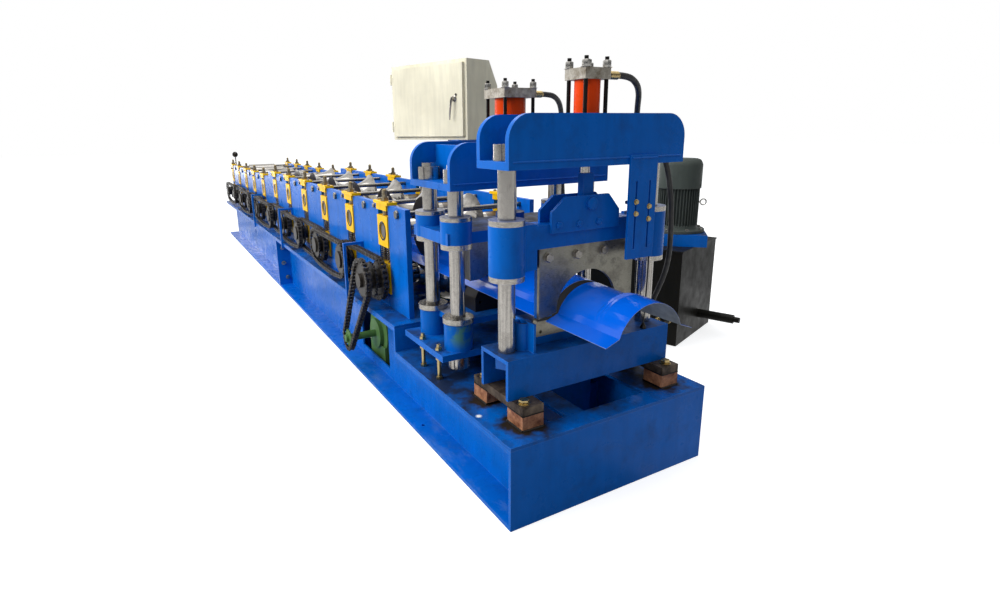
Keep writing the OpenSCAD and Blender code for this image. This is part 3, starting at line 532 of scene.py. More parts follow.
def foot_steel():
    """Rusty blocks under dark plates, told apart by their height."""
    s = Shader("foot_steel")
    plate = s.ramp(s.axis("Z"), 0.352, 0.354)
    rust = s.mix(s.ramp(s.noise(24, 8, rough=0.7), 0.35, 0.68), linear(96, 54, 34), linear(196, 140, 104))
    dark = s.mix(s.ramp(s.noise(30, 7), 0.35, 0.7), linear(46, 38, 32), linear(110, 96, 82))
    s.colour(s.mix(plate, rust, dark))
    s.metal(s.ramp(plate, 0, 1, 0.1, 0.6))
    s.rough(s.ramp(s.noise(26, 5), 0.3, 0.7, 0.4, 0.7))
    s.bump(s.noise(70, 6), 0.001, 0.6)
    return s.material


# Mesh building

UP = (0, 0, 1)
RIGHT = (1, 0, 0)
FRONT = (0, -1, 0)
WASHER_T = 0.0016


def facing(axis):
    """The turn that brings +Z to an axis."""
    return Vector(UP).rotation_difference(Vector(axis)).to_matrix().to_4x4()


def polar(x, y, radius, angle):
    return (x + radius * math.cos(angle), y + radius * math.sin(angle))


def between(a, b, u):
    return (a[0] + (b[0] - a[0]) * u, a[1] + (b[1] - a[1]) * u)


class Parts:
    """Turned, cut and bent shapes gathered into one mesh, placed from the exit end."""

    def __init__(self):
        self.bm = bmesh.new()

    def revolve(self, profile, place, axis=UP, sides=24, turn=0.0):
        """Spin a profile of (radius, height) pairs about an axis through a place."""
        base = Matrix.Translation(at_exit(*place)) @ facing(axis)
        rings = []
        for radius, height in profile:
            ring = []
            for k in range(sides if radius else 1):
                angle = turn + math.tau * k / sides
                point = Vector((radius * math.cos(angle), radius * math.sin(angle), height))
                ring.append(self.bm.verts.new(base @ point))
            rings.append(ring)
        for low, high in zip(rings, rings[1:]):
            for k in range(sides):
                after = (k + 1) % sides
                corners = (
                    low[k % len(low)],
                    low[after % len(low)],
                    high[after % len(high)],
                    high[k % len(high)],
                )
                distinct = list(dict.fromkeys(corners))
                if len(distinct) > 2:
                    self.bm.faces.new(distinct)

    def disc(self, place, axis, radius, height, sides=16):
        self.revolve([(0, 0), (radius, 0), (radius, height), (0, height)], place, axis, sides)

    def slab(self, outline, shift):
        """A flat outline of points, given thickness along a shift."""
        low = [self.bm.verts.new(at_exit(*point)) for point in outline]
        high = [self.bm.verts.new(at_exit(*point) + Vector(shift)) for point in outline]
        self.bm.faces.new(low[::-1])
        self.bm.faces.new(high)
        for k in range(len(low)):
            self.bm.faces.new((low[k - 1], low[k], high[k], high[k - 1]))

    def box(self, low, high):
        corners = [(low[0], low[1]), (high[0], low[1]), (high[0], high[1]), (low[0], high[1])]
        self.slab([(x, y, low[2]) for x, y in corners], (0, 0, high[2] - low[2]))

    def tube(self, points, radii, sides=8):
        """A round tube along points, with one radius or one for each point."""
        places = [at_exit(*point) for point in points]
        if isinstance(radii, float):
            radii = [radii] * len(places)
        heading = (places[1] - places[0]).normalized()
        side = heading.orthogonal().normalized()
        rings = []
        for k, place in enumerate(places):
            before = places[max(k - 1, 0)]
            after = places[min(k + 1, len(places) - 1)]
            heading = (after - before).normalized()
            side = (side - heading * side.dot(heading)).normalized()
            other = heading.cross(side)
            ring = []
            for j in range(sides):
                angle = math.tau * j / sides
                offset = radii[k] * (math.cos(angle) * side + math.sin(angle) * other)
                ring.append(self.bm.verts.new(place + offset))
            rings.append(ring)
        for low, high in zip(rings, rings[1:]):
            for j in range(sides):
                self.bm.faces.new((low[j - 1], low[j], high[j], high[j - 1]))
        self.bm.faces.new(rings[0][::-1])
        self.bm.faces.new(rings[-1])

    def nut(self, place, axis, size, height=None, turn=0.3):
        """A chamfered hexagon for a shank of radius size."""
        wide = 1.85 * size
        tall = height or 1.35 * size
        chamfered = [(wide * 0.94, 0), (wide, 0.12 * tall), (wide, 0.86 * tall), (wide * 0.88, tall)]
        profile = [(0, 0)] + chamfered + [(0, tall)]
        self.revolve(profile, place, axis, 6, turn)

    def washer(self, place, axis, size, thick=WASHER_T):
        self.disc(place, axis, size * 2.1, thick, 20)

    def bolt(self, place, axis, size, turn=0.3):
        """A hexagon head on its washer."""
        self.washer(place, axis, size)
        lifted = Vector(place) + WASHER_T * Vector(axis)
        self.nut(lifted, axis, size, turn=turn)

    def stud(self, place, axis, size, length):
        """A threaded end, cut as fine grooves."""
        pitch = 0.28 * size
        profile = [(0, 0)]
        for k in range(int(length / pitch)):
            profile.append((size, k * pitch))
            profile.append((size * 0.9, (k + 0.5) * pitch))
        profile += [(size * 0.85, length), (0, length)]
        self.revolve(profile, place, axis, 12)

    def bead(self, start, end, radius, lump=0.012):
        """A weld bead: overlapping lumps from start to end."""
        span = Vector(end) - Vector(start)
        count = max(3, int(span.length / lump * 3))
        points = [tuple(Vector(start) + span * k / count) for k in range(count + 1)]
        waves = [abs(math.sin(k * math.pi / 3 + 0.4 * math.sin(k))) for k in range(count + 1)]
        radii = [radius * (0.82 + 0.22 * wave) for wave in waves]
        self.tube(points, radii, 6)

    def piece(self, name, material, body="frame", replaces=(), smooth=35):
        bmesh.ops.recalc_face_normals(self.bm, faces=self.bm.faces)
        mesh = bpy.data.meshes.new(name)
        self.bm.to_mesh(mesh)
        self.bm.free()
        mesh.materials.append(material)
        mesh.shade_smooth()
        mesh.set_sharp_from_angle(angle=math.radians(smooth))
        made = add_object(name, mesh)
        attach(made, body)
        if replaces:
            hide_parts(*replaces)
        return made


# Hoses: the routes are those of the CAD source, from the exit end

HOSE_D = 0.022
FERRULE_L = 0.046
CABLE_D = 0.006
RETURN_ELBOW = ((0.346, 0.316, 1.182), (0.374, 0.352, 1.210))
GLAND = [(0, 0), (0.011, 0), (0.011, 0.008), (0.008, 0.012), (0.005, 0.020), (0, 0.020)]
PORT_Z = 0.160
TANK_CORNER = (1.286, 0.871)
TANK_TURN = math.radians(20.5)


def at_port(y, out):
    """A point on the axis of a port in the tank's side."""
    c = math.cos(TANK_TURN)
    s = math.sin(TANK_TURN)
    return (TANK_CORNER[0] - out * c - y * s, TANK_CORNER[1] - out * s + y * c, PORT_Z)


CUTTER_ROUTE = [
    (0.087, 0.220, 1.431), (0.150, 0.220, 1.431), (0.200, 0.226, 1.424), (0.246, 0.244, 1.404),
    (0.284, 0.272, 1.376), (0.318, 0.308, 1.338), (0.350, 0.342, 1.280), (0.384, 0.372, 1.190),
    (0.420, 0.398, 1.080), (0.456, 0.420, 0.960), (0.490, 0.440, 0.830), (0.516, 0.456, 0.700),
    (0.532, 0.468, 0.570), (0.546, 0.480, 0.440), (0.562, 0.494, 0.310), (0.586, 0.514, 0.190),
    (0.622, 0.546, 0.090), (0.676, 0.590, 0.028), (0.740, 0.640, 0.012), (0.810, 0.696, 0.012),
    (0.880, 0.758, 0.012), (0.948, 0.818, 0.012), (1.010, 0.862, 0.030), (1.060, 0.892, 0.074),
    (1.102, 0.909, 0.128), at_port(0.100, 0.110), at_port(0.100, 0.030),
]
PRESS_ROUTE = [
    (0.109, 0.688, 1.397), (0.170, 0.688, 1.397), (0.220, 0.696, 1.391), (0.268, 0.722, 1.370),
    (0.312, 0.762, 1.336), (0.350, 0.806, 1.290), (0.384, 0.850, 1.228), (0.414, 0.884, 1.140),
    (0.442, 0.908, 1.020), (0.468, 0.926, 0.890), (0.492, 0.940, 0.750), (0.514, 0.952, 0.610),
    (0.536, 0.964, 0.470), (0.560, 0.976, 0.330), (0.590, 0.990, 0.200), (0.634, 1.006, 0.096),
    (0.694, 1.020, 0.030), (0.762, 1.022, 0.012), (0.830, 1.010, 0.012), (0.896, 0.990, 0.012),
    (0.950, 0.976, 0.022), (0.990, 0.976, 0.048), (1.029, 0.988, 0.084), (1.068, 1.003, 0.128),
    at_port(0.200, 0.110), at_port(0.200, 0.030),
]
RETURN_ROUTE = [
    (0.372, 0.338, 1.196), (0.412, 0.340, 1.196), (0.456, 0.339, 1.184), (0.494, 0.336, 1.154),
    (0.522, 0.334, 1.104), (0.543, 0.333, 1.036), (0.559, 0.333, 0.960), (0.572, 0.338, 0.880),
    (0.585, 0.346, 0.800), (0.597, 0.360, 0.710), (0.598, 0.384, 0.620), (0.590, 0.416, 0.530),
    (0.584, 0.446, 0.430), (0.592, 0.470, 0.310), (0.614, 0.492, 0.190), (0.650, 0.520, 0.092),
    (0.704, 0.560, 0.030), (0.770, 0.608, 0.012), (0.842, 0.662, 0.012), (0.914, 0.716, 0.012),
    (0.984, 0.770, 0.014), (1.046, 0.812, 0.034), (1.098, 0.843, 0.078), (1.140, 0.862, 0.130),
    at_port(0.040, 0.110), at_port(0.040, 0.030), at_port(0.040, 0.000),
]
SENSOR_ROUTE = [
    (0.196, 0.148, 1.008), (0.212, 0.148, 1.006), (0.226, 0.147, 0.998), (0.235, 0.145, 0.982),
    (0.240, 0.142, 0.958), (0.242, 0.140, 0.925), (0.243, 0.138, 0.880), (0.244, 0.137, 0.820),
    (0.245, 0.138, 0.750), (0.246, 0.140, 0.680), (0.247, 0.143, 0.610), (0.248, 0.146, 0.560),
    (0.248, 0.147, 0.5250),
]


def through(points, steps=4):
    """A smooth line through the points, with more points between them."""
    line = []
    for k in range(len(points) - 1):
        quad = [Vector(points[max(0, min(len(points) - 1, k + d))]) for d in (-1, 0, 1, 2)]
        for step in range(steps):
            u = step / steps
            line.append(
                0.5 * (2 * quad[1] + (quad[2] - quad[0]) * u
                       + (2 * quad[0] - 5 * quad[1] + 4 * quad[2] - quad[3]) * u * u
                       + (3 * quad[1] - quad[0] - 3 * quad[2] + quad[3]) * u ** 3)
            )
    line.append(Vector(points[-1]))
    return line


def crimped(place, axis, radius, length):
    """A hose end: ferrule with crimp marks and a collar."""
    parts = Parts()
    profile = [(0, 0), (radius * 0.86, 0), (radius * 0.86, length * 0.12), (radius * 1.12, length * 0.14)]
    for k in range(5):
        start = length * (0.2 + 0.15 * k)
        profile.append((radius * 1.26, start))
        profile.append((radius * 1.26, start + length * 0.09))
        profile.append((radius * 1.18, start + length * 0.11))
    profile += [(radius * 1.1, length), (radius, length), (0, length)]
    parts.revolve(profile, place, axis, 20)
    return parts


def make_cord(name, route, diameter, material, replaces=()):
    line = [at_exit(*point) for point in through(route)]
    curve = bpy.data.curves.new(name, "CURVE")
    curve.dimensions = "3D"
    curve.bevel_depth = diameter / 2
    curve.bevel_resolution = 3
    curve.use_fill_caps = True
    spline = curve.splines.new("POLY")
    spline.points.add(len(line) - 1)
    for point, place in zip(spline.points, line):
        point.co = (*place, 1)
    curve.materials.append(material)
    cord = add_object(name, curve)
    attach(cord, "frame")
    if replaces:
        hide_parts(*replaces)


def hose_end(name, place, axis):
    return crimped(place, axis, HOSE_D / 2, FERRULE_L).piece(name, brass)


def end_axis(route):
    """The direction from a route's end back along its last stretch."""
    return tuple((Vector(route[-2]) - Vector(route[-1])).normalized())


def make_hoses():
    for name, route in (("cutter_hose", CUTTER_ROUTE), ("press_hose", PRESS_ROUTE)):
        ends = [
            hose_end(name + "_cylinder_end", route[0], RIGHT),
            hose_end(name + "_tank_end", route[-1], end_axis(route)),
        ]
        make_cord(name + "_line", route, HOSE_D, hose_rubber, (name,))
    elbow = Parts()
    elbow.box(*RETURN_ELBOW)
    ends = [
        elbow.piece("return_hose_elbow", brass),
        hose_end("return_hose_beam_end", RETURN_ROUTE[0], RIGHT),
        hose_end("return_hose_tank_end", RETURN_ROUTE[-1], end_axis(RETURN_ROUTE)),
    ]
    make_cord("return_hose", RETURN_ROUTE, HOSE_D, hose_rubber)
    gland = Parts()
    gland.revolve(GLAND, SENSOR_ROUTE[-1])
    ends = [gland.piece("cable_gland", black_oxide)]
    make_cord("sensor_cable", SENSOR_ROUTE, CABLE_D, hose_rubber)


chain_black = greasy_chain()
hose_rubber = rubber()
make_hoses()

# CAD nodes: their finishes

sill_paint = scuffed_sills()
DIE_STEEL = (0.30, 0.28, 0.23, 1)
BLADE_STEEL = (0.27, 0.26, 0.22, 1)
PRESS_DIE_STEEL = (0.34, 0.33, 0.30, 1)
CUTTER_HEAD_RINGS = [(0.775, 0.793), (0.960, 0.978)]
PRESS_HEAD_RINGS = [(0.823, 0.843), (0.930, 0.945)]
FINISH = {
    "left_sill": sill_paint,
    "right_sill": sill_paint,
    "deck_plates": oily_deck(),
    "bearing_blocks": yellow,
    "bearing_caps": cap_paint(),
    "tie_rods": rod_steel,
    "drive_gearmotor": green,
    "entry_guide": chrome,
    "cutter_feet": foot_steel(),
    "cutter_channel": oily_plates(),
    "cutter_posts": post_steel(),
    "lower_dies": stained_steel("die_steel", DIE_STEEL, 0.5, (0.216, 0.606)),
    "cutter_cylinder": cylinder_paint("cutter_cylinder_enamel", **CUTTER_CYLINDER),
    "press_base": bushed_base(),
    "press_posts": chrome,
    "press_cylinder": cylinder_paint("press_cylinder_enamel", **PRESS_CYLINDER),
    "ridge_sheet": coated_sheet(),
    "hydraulic_tank": black_paint,
    "control_cabinet": ivory,
    "cabinet_door": ivory,
    "cutter_head": head_paint("cutter_head_enamel", CUTTER_HEAD_RINGS, 0.24, 1.112),
    "cutter_blade": stained_steel("blade_steel", BLADE_STEEL),
    "press_head": head_paint("press_head_enamel", PRESS_HEAD_RINGS, 0.24, 0.93, oil=0.95),
    "press_die": stained_steel("press_die_steel", PRESS_DIE_STEEL),
}
roll_finish = roll_steel()


def finish_node(name, material):
    node = nodes[name]
    node.data.materials.clear()
    node.data.materials.append(material)


# Nodes that aren't listed are blue, apart from the rolls
for node_name in nodes:
    plain = roll_finish if "_roll_" in node_name else blue
    finish_node(node_name, FINISH.get(node_name, plain))

# Chains: real links on the lines of the CAD bands

CHAIN_A_X = -0.385
CHAIN_B_X = -0.420
MOTOR_CHAIN_X = -0.470
CHAIN_R = 0.098
DRIVE_PLACE = (1.560, 0.180)
DRIVE_CHAIN_R = 0.060
CHAIN_SAG = 0.016
LINK_PITCH = 0.0254
LINK_HALF_H = 0.0121
LINK_WAIST = 0.72 * LINK_HALF_H
LINK_ENDS = 5
LINK_PLATE_T = 0.0032
OUTER_PLATES = (-0.0134, 0.0102)
INNER_PLATES = (-0.0100, 0.0068)
ROLLER_R = 0.0080
ROLLER_W = 0.0136
PIN_R = 0.0046
PIN_L = 0.0310
WHEEL_STEPS = 40
SAG_STEPS = 30


def chain_line(y0, z0, r0, y1, z1, r1, sag):
    """Evenly spaced pins on the loop round two wheels. The lower run sags."""
    reach = math.hypot(y1 - y0, z1 - z0)
    lean = math.atan2(z1 - z0, y1 - y0)
    open_angle = math.acos((r0 - r1) / reach)
    dense = []
    far = []
    for k in range(WHEEL_STEPS + 1):
        u = k / WHEEL_STEPS
        dense.append(polar(y0, z0, r0, lean + open_angle + (math.tau - 2 * open_angle) * u))
        far.append(polar(y1, z1, r1, lean - open_angle + 2 * open_angle * u))
    start = dense[-1]
    for k in range(1, SAG_STEPS):
        u = k / SAG_STEPS
        y, z = between(start, far[0], u)
        dense.append((y, z - sag * 4 * u * (1 - u)))
    dense += far
    dense.append(dense[0])
    steps = [0.0]
    for a, b in zip(dense, dense[1:]):
        steps.append(steps[-1] + math.hypot(b[0] - a[0], b[1] - a[1]))
    count = 2 * round(steps[-1] / LINK_PITCH / 2)
    pins = []
    k = 0
    for j in range(count):
        want = steps[-1] * j / count
        while steps[k + 1] < want:
            k += 1
        u = (want - steps[k]) / (steps[k + 1] - steps[k])
        pins.append(between(dense[k], dense[k + 1], u))
    return pins


def link_outline(x, a, b):
    """The waisted outline of a link plate between two pins."""
    angle = math.atan2(b[1] - a[1], b[0] - a[0])
    middle = between(a, b, 0.5)
    points = []
    for centre, start in ((b, -0.5), (a, 0.5)):
        for k in range(LINK_ENDS):
            turn = angle + math.pi * (start + k / (LINK_ENDS - 1))
            points.append((x, *polar(*centre, LINK_HALF_H, turn)))
        points.append((x, *polar(*middle, LINK_WAIST, angle + math.pi * (start + 1))))
    return points


def add_chain(parts, x, pins):
    for k, a in enumerate(pins):
        b = pins[(k + 1) % len(pins)]
        for side in INNER_PLATES if k % 2 else OUTER_PLATES:
            parts.slab(link_outline(x + side, a, b), (LINK_PLATE_T, 0, 0))
        parts.disc((x - ROLLER_W / 2, *a), RIGHT, ROLLER_R, ROLLER_W, 10)
        pin = [(0, 0), (0.0040, 0), (PIN_R, 0.0008), (PIN_R, PIN_L - 0.0008), (0.0040, PIN_L), (0, PIN_L)]
        parts.revolve(pin, (x - PIN_L / 2, *a), RIGHT, 8)


def make_chains():
    for group, indices in (("near", range(0, 5)), ("far", range(5, 10))):
        parts = Parts()
        for i in indices:
            x = CHAIN_A_X if i % 2 == 0 else CHAIN_B_X
            pins = chain_line(station_y(i), LOWER_Z, CHAIN_R, station_y(i + 1), LOWER_Z, CHAIN_R, CHAIN_SAG)
            add_chain(parts, x, pins)
        parts.piece(group + "_station_links", chain_black, replaces=("station_chains",))
    parts = Parts()
    pins = chain_line(station_y(0), LOWER_Z, CHAIN_R, *DRIVE_PLACE, DRIVE_CHAIN_R, 0.0)
    add_chain(parts, MOTOR_CHAIN_X, pins)
    parts.piece("motor_chain_links", chain_black, replaces=("motor_chain",))


make_chains()

# Upper rolls: each ends at the riser of its sheet line, free of the flanges

ARCH_R = 0.142
ARCH_ANGLE = math.radians(60)
ARCH_STEPS = 9
STRIP_Z = 0.632
ARCH_LIFT = 0.029
RISER_W = 0.009
RISER_H = 0.021
ROLL_GAP = 0.002
SHAFT_R = 0.035
SPACER_R = 0.048
SPACER_X = 0.300
SHAFT_END_X = PLATE_X + 0.004
ROLL_SIDES = 96


def half_sheet_line(i):
    """The sheet's top line at a station, from the ridge to the foot of the riser."""
    formed = 1 - i / (STATIONS - 1)
    angle = max(ARCH_ANGLE * formed, math.radians(0.01))
    radius = ARCH_R * ARCH_ANGLE / angle
    base = STRIP_Z + ARCH_LIFT * formed
    line = []
    for k in range(ARCH_STEPS + 1):
        lean = angle * k / ARCH_STEPS
        line.append((radius * math.sin(lean), base + radius * (math.cos(lean) - math.cos(angle))))
    line.append((radius * math.sin(angle) + RISER_W, base - RISER_H * formed))
    return line


def make_upper_rolls():
    for i in range(STATIONS):
        half = [(upper_z(i) - z - ROLL_GAP, x) for x, z in half_sheet_line(i)]
        end = half[-1][1]
        shaft = [(0, SHAFT_END_X), (SHAFT_R, SHAFT_END_X)]
        outer = shaft + [(SHAFT_R, SPACER_X), (SPACER_R, SPACER_X), (SPACER_R, end)]
        right = [(r, x) for r, x in reversed(outer)]
        left = [(r, -x) for r, x in outer]
        profile = left + [(r, -x) for r, x in reversed(half[1:])] + half + right
        parts = Parts()
        parts.revolve(profile, (0, station_y(i), upper_z(i)), RIGHT, ROLL_SIDES)
        name = f"upper_roll_{i + 1}"
        parts.piece(name + "_turned", roll_finish, f"upper_shaft_{i + 1}", (name,), 25)


make_upper_rolls()

# Springs: coils round guide rods

COIL_R = 0.0132
WIRE_R = 0.0026
COIL_PITCH = 0.0095
COIL_SIDES = 12
SPRING_OFFSET = 0.040


def make_springs():
    coils = Parts()
    rods = Parts()
    for i in range(STATIONS):
        low = LOWER_Z + BLOCK_HALF
        high = upper_z(i) - BLOCK_HALF
        count = round((high - low) / COIL_PITCH) * COIL_SIDES
        for s in (-1, 1):
            for d in (-SPRING_OFFSET, SPRING_OFFSET):
                x = s * BLOCK_MID_X
                y = station_y(i) + d
                points = []
                for k in range(count + 1):
                    z = low + WIRE_R + (high - low - 2 * WIRE_R) * k / count
                    points.append((*polar(x, y, COIL_R, math.tau * k / COIL_SIDES), z))
                coils.tube(points, WIRE_R, 6)
                rods.revolve([(0.0072, 0), (0.0072, high - low)], (x, y, low), sides=12)
    coils.piece("spring_coils", spring_steel, replaces=("block_springs",))
    rods.piece("spring_guide_rods", zinc)


make_springs()

# Bolts, nuts and rings

BEARING_RING = [(0.0365, 0), (0.047, 0), (0.047, 0.0012), (0.044, 0.0018), (0.0365, 0.0018)]
CAP_T = 0.014
CAP_SCREW_OFFSET = 0.074
ADJUSTER_L = 0.048
PLATE_BOLT_OFFSET = 0.114
PLATE_BOLT_DROP = 0.018
BASE_JOINT_Y = 3.584
BASE_FLANGE_T = 0.016
BLADE_BOLT_Y = 0.183
HANGER_NUT_Y = 0.171
SENSOR_PLATE_Y = 0.114
BLADE_BOLTS = [(-0.175, 0.841), (-0.052, 0.839), (0.067, 0.842), (0.178, 0.841)]
HANGER_NUTS = [(-0.141, 0.949), (-0.056, 0.948), (0.030, 0.949)]
SENSOR_PLATE_BOLTS = [(0.143, 1.012), (0.144, 0.971), (0.205, 0.993), (0.205, 0.949)]
SENSOR_HEIGHTS = (0.972, 1.008)
SENSOR_Y = 0.148
SENSOR_THREADS = 16
SENSOR_PITCH = 0.0024
BEAM_SEAMS = [(0.1235, 1.163), (0.5095, 1.069)]
FOOT_LENGTH = 0.092
FOOT_WIDTH = 0.084
FOOT_PLATE_Z = 0.353


def make_station_hardware():
    bolts = Parts()
    rings = Parts()
    nuts = Parts()
    for i in range(STATIONS):
        for s in (-1, 1):
            y = station_y(i)
            if s > 0 or i < STATIONS - 1:
                place = (s * PLATE_X, y + PLATE_BOLT_OFFSET, plate_top(i) - PLATE_BOLT_DROP)
                bolts.bolt(place, (s, 0, 0), 0.006, 0.4 * i)
            for z in (LOWER_Z, upper_z(i)):
                rings.revolve(BEARING_RING, (s * (BLOCK_X - 0.0004), y, z), (s, 0, 0), 32)
            top = plate_top(i) + CAP_T
            nuts.nut((s * BLOCK_MID_X, y, top + 0.001), UP, 0.0095, 0.008, 0.5 + i)
            nuts.stud((s * BLOCK_MID_X, y, top + 0.008), UP, 0.0085, ADJUSTER_L)
            for d in (-CAP_SCREW_OFFSET, CAP_SCREW_OFFSET):
                bolts.bolt((s * BLOCK_MID_X, y + d, top), UP, 0.005, 0.3 * i)
    bolts.piece("station_bolts", nut_steel)
    rings.piece("bearing_rings", black_oxide)
    nuts.piece("adjuster_lock_nuts", brass)


def make_base_bolts():
    parts = Parts()
    for s in (-1, 1):
        for x, z in ((0.395, 0.200), (0.372, 0.075), (0.395, 0.330)):
            for side in (-1, 1):
                parts.bolt((s * x, BASE_JOINT_Y + side * BASE_FLANGE_T, z), (0, side, 0), 0.009)
    parts.piece("base_joint_bolts", nut_steel)
    feet = Parts()
    for s in (-1, 1):
        for y in (0.098, 0.350):
            feet.bolt((s * (FOOT_X + 0.004), y, 0.383), UP, 0.010, 0.7)
    feet.piece("foot_plate_bolts", brass)


def make_cutter_bolts():
    blade = Parts()
    for x, z in BLADE_BOLTS:
        blade.bolt((x, BLADE_BOLT_Y, z), FRONT, 0.0085, x * 9)
    blade.piece("blade_bolts", nut_steel, "cutter_ram")
    hanger = Parts()
    for x, z in HANGER_NUTS:
        hanger.nut((x, HANGER_NUT_Y, z), FRONT, 0.0065, 0.006, x * 9)
    cap = [(0, 0), (0.021, 0), (0.021, 0.004), (0.018, 0.006), (0, 0.006)]
    hanger.revolve(cap, (-0.008, 0.163, 1.013), FRONT, 32)
    hanger.piece("hanger_bolts", blue, "cutter_ram")
    plate = Parts()
    for x, z in SENSOR_PLATE_BOLTS:
        plate.bolt((x, SENSOR_PLATE_Y, z), FRONT, 0.0045, x * 40)
    plate.piece("sensor_plate_bolts", brass)


def make_sensors():
    bodies = Parts()
    brackets = Parts()
    for z in SENSOR_HEIGHTS:
        profile = [(0, 0), (0.0065, 0), (0.0065, 0.006), (0.006, 0.007)]
        for k in range(SENSOR_THREADS):
            height = 0.009 + SENSOR_PITCH * k
            profile += [(0.0064, height), (0.0058, height + SENSOR_PITCH / 2)]
        profile += [(0.0064, 0.052), (0.0064, 0.062), (0.004, 0.066), (0, 0.066)]
        bodies.revolve(profile, (0.130, SENSOR_Y, z), RIGHT, 20)
        for x in (0.148, 0.160):
            bodies.nut((x, SENSOR_Y, z), RIGHT, 0.0056, 0.004)
        brackets.box((0.153, 0.124, z - 0.013), (0.159, 0.160, z + 0.013))
    bodies.piece("proximity_sensors", zinc)
    brackets.piece("sensor_brackets", brass)


def make_cylinder_nuts():
    for name, cylinder, half in (("cutter", CUTTER_CYLINDER, 0.043), ("press", PRESS_CYLINDER, 0.065)):
        nuts = Parts()
        for a in (-1, 1):
            for b in (-1, 1):
                place = (a * half, cylinder["y"] + b * half, cylinder["z_high"])
                nuts.washer(place, UP, 0.0085)
                nuts.nut(Vector(place) + WASHER_T * Vector(UP), UP, 0.0078, 0.0215, a + b)
        nuts.piece(name + "_cylinder_nuts", zinc)


def make_welds():
    painted = Parts()
    for y, z in BEAM_SEAMS:
        painted.bead((-0.355, y, z), (0.355, y, z), 0.0032)
    painted.bead((0.118, 0.1135, 1.160), (0.230, 0.1135, 1.160), 0.003)
    painted.piece("painted_weld_beads", blue)
    burnt = Parts()
    for s in (-1, 1):
        x0 = s * POST_X + CUTTER_SHIFT - FOOT_WIDTH / 2
        x1 = x0 + FOOT_WIDTH
        for y0 in (0.067, 0.295):
            corners = [(x0, y0), (x1, y0), (x1, y0 + FOOT_LENGTH), (x0, y0 + FOOT_LENGTH)]
            for z, radius in ((LOW_DECK_Z, 0.0055), (FOOT_PLATE_Z, 0.0025)):
                for k in range(4):
                    burnt.bead((*corners[k - 1], z), (*corners[k], z), radius)
    burnt.piece("foot_weld_beads", black_oxide)


make_station_hardware()
make_base_bolts()
make_cutter_bolts()
make_sensors()
make_cylinder_nuts()
make_welds()

# Cabinet, pump motor and entry end

CABINET_NEAR = (0.558, 2.060)
CABINET_TURN = math.radians(17.8)
CABINET_Z = 1.197
MOTOR_AT = (1.4969, 1.1207)
MOTOR_FINS = 44
FIN_FOOT_W = 0.0048
FIN_TIP_W = 0.0028
FIN_H = 0.015
FIN_L = 0.223
FIN_Z = 0.682
FIN_FOOT_R = 0.108
MOUNT_HALF = 0.17
MOUNT_Z = 0.57205
MOUNT_H = 0.06995
MOUNT_TURN = TANK_TURN - math.radians(65.5)
FAN_RINGS = (0.030, 0.050, 0.070, 0.090)
COWL_TOP_Z = 1.0744
FLANGE_BOLT_R = 0.148
COWL_SCREW_R = 0.1305
EYE_R = 0.018
EYE_REACH = 0.122
EYE_Z = 0.815
EYE_STEPS = 24
EYE_WAY = (0.86, -0.5, 0)
HANDLE_ROSE = [
    (0, 0), (0.020, 0), (0.020, 0.004), (0.015, 0.009), (0.009, 0.012), (0.009, 0.026), (0, 0.028),
]
HANDLE_LEVER = [
    (-0.042, 0.094, 0.270), (-0.048, 0.096, 0.252), (-0.051, 0.099, 0.225),
    (-0.053, 0.103, 0.190), (-0.054, 0.107, 0.155), (-0.050, 0.110, 0.128),
]
HANDLE_RADII = [0.008, 0.009, 0.0075, 0.0065, 0.006, 0.0035]
MOTOR_PROFILE = [
    (0, 0.642), (0.163, 0.642), (0.165, 0.644), (0.165, 0.658), (0.163, 0.660), (0.127, 0.664),
    (0.122, 0.676), (0.121, 0.682), (0.109, 0.690), (0.109, 0.905), (0.130, 0.905), (0.130, 1.040),
    (0.127, 1.052), (0.118, 1.068), (0.110, 1.074), (0, 1.075),
]
BALL_R = 0.034
BALL_STEPS = 16
BALL_AT = (-0.282, 6.656, 1.0)


def at_cabinet(x, y, z):
    c = math.cos(CABINET_TURN)
    s = math.sin(CABINET_TURN)
    return (CABINET_NEAR[0] + c * x - s * y, CABINET_NEAR[1] + s * x + c * y, CABINET_Z + z)


def make_door_handle():
    """A swing handle on an oval rose, hanging from the lock."""
    out = Vector((-math.cos(CABINET_TURN), -math.sin(CABINET_TURN), 0))
    parts = Parts()
    parts.revolve(HANDLE_ROSE, at_cabinet(-0.021, 0.094, 0.262), out, 28)
    parts.disc(at_cabinet(-0.021, 0.078, 0.285), out, 0.009, 0.003)
    parts.tube([at_cabinet(*point) for point in HANDLE_LEVER], HANDLE_RADII, 12)
    parts.piece("door_handle", chrome, "door")


def make_pump_motor():
    """Mount box, round flange, finned barrel and the cowl with its rounded top."""
    x, y = MOTOR_AT
    mount = Parts()
    corners = []
    for k in range(4):
        angle = MOUNT_TURN + math.tau * (k + 0.5) / 4
        corners.append((*polar(x, y, MOUNT_HALF * math.sqrt(2), angle), MOUNT_Z))
    mount.slab(corners, (0, 0, MOUNT_H))
    mount.piece("pump_mount_box", oily_plates(), replaces=("pump_motor",), smooth=20)
    barrel = Parts()
    barrel.revolve(MOTOR_PROFILE, (x, y, 0), sides=64)
    for k in range(MOTOR_FINS):
        angle = math.tau * k / MOTOR_FINS
        out = Vector((math.cos(angle), math.sin(angle), 0))
        across = Vector((-out.y, out.x, 0))
        foot = Vector((x, y, FIN_Z)) + FIN_FOOT_R * out
        tip = foot + FIN_H * out
        wide = FIN_FOOT_W / 2 * across
        thin = FIN_TIP_W / 2 * across
        barrel.slab([foot - wide, tip - thin, tip + thin, foot + wide], (0, 0, FIN_L))
    barrel.piece("pump_motor_barrel", grey, replaces=("pump_motor",), smooth=30)


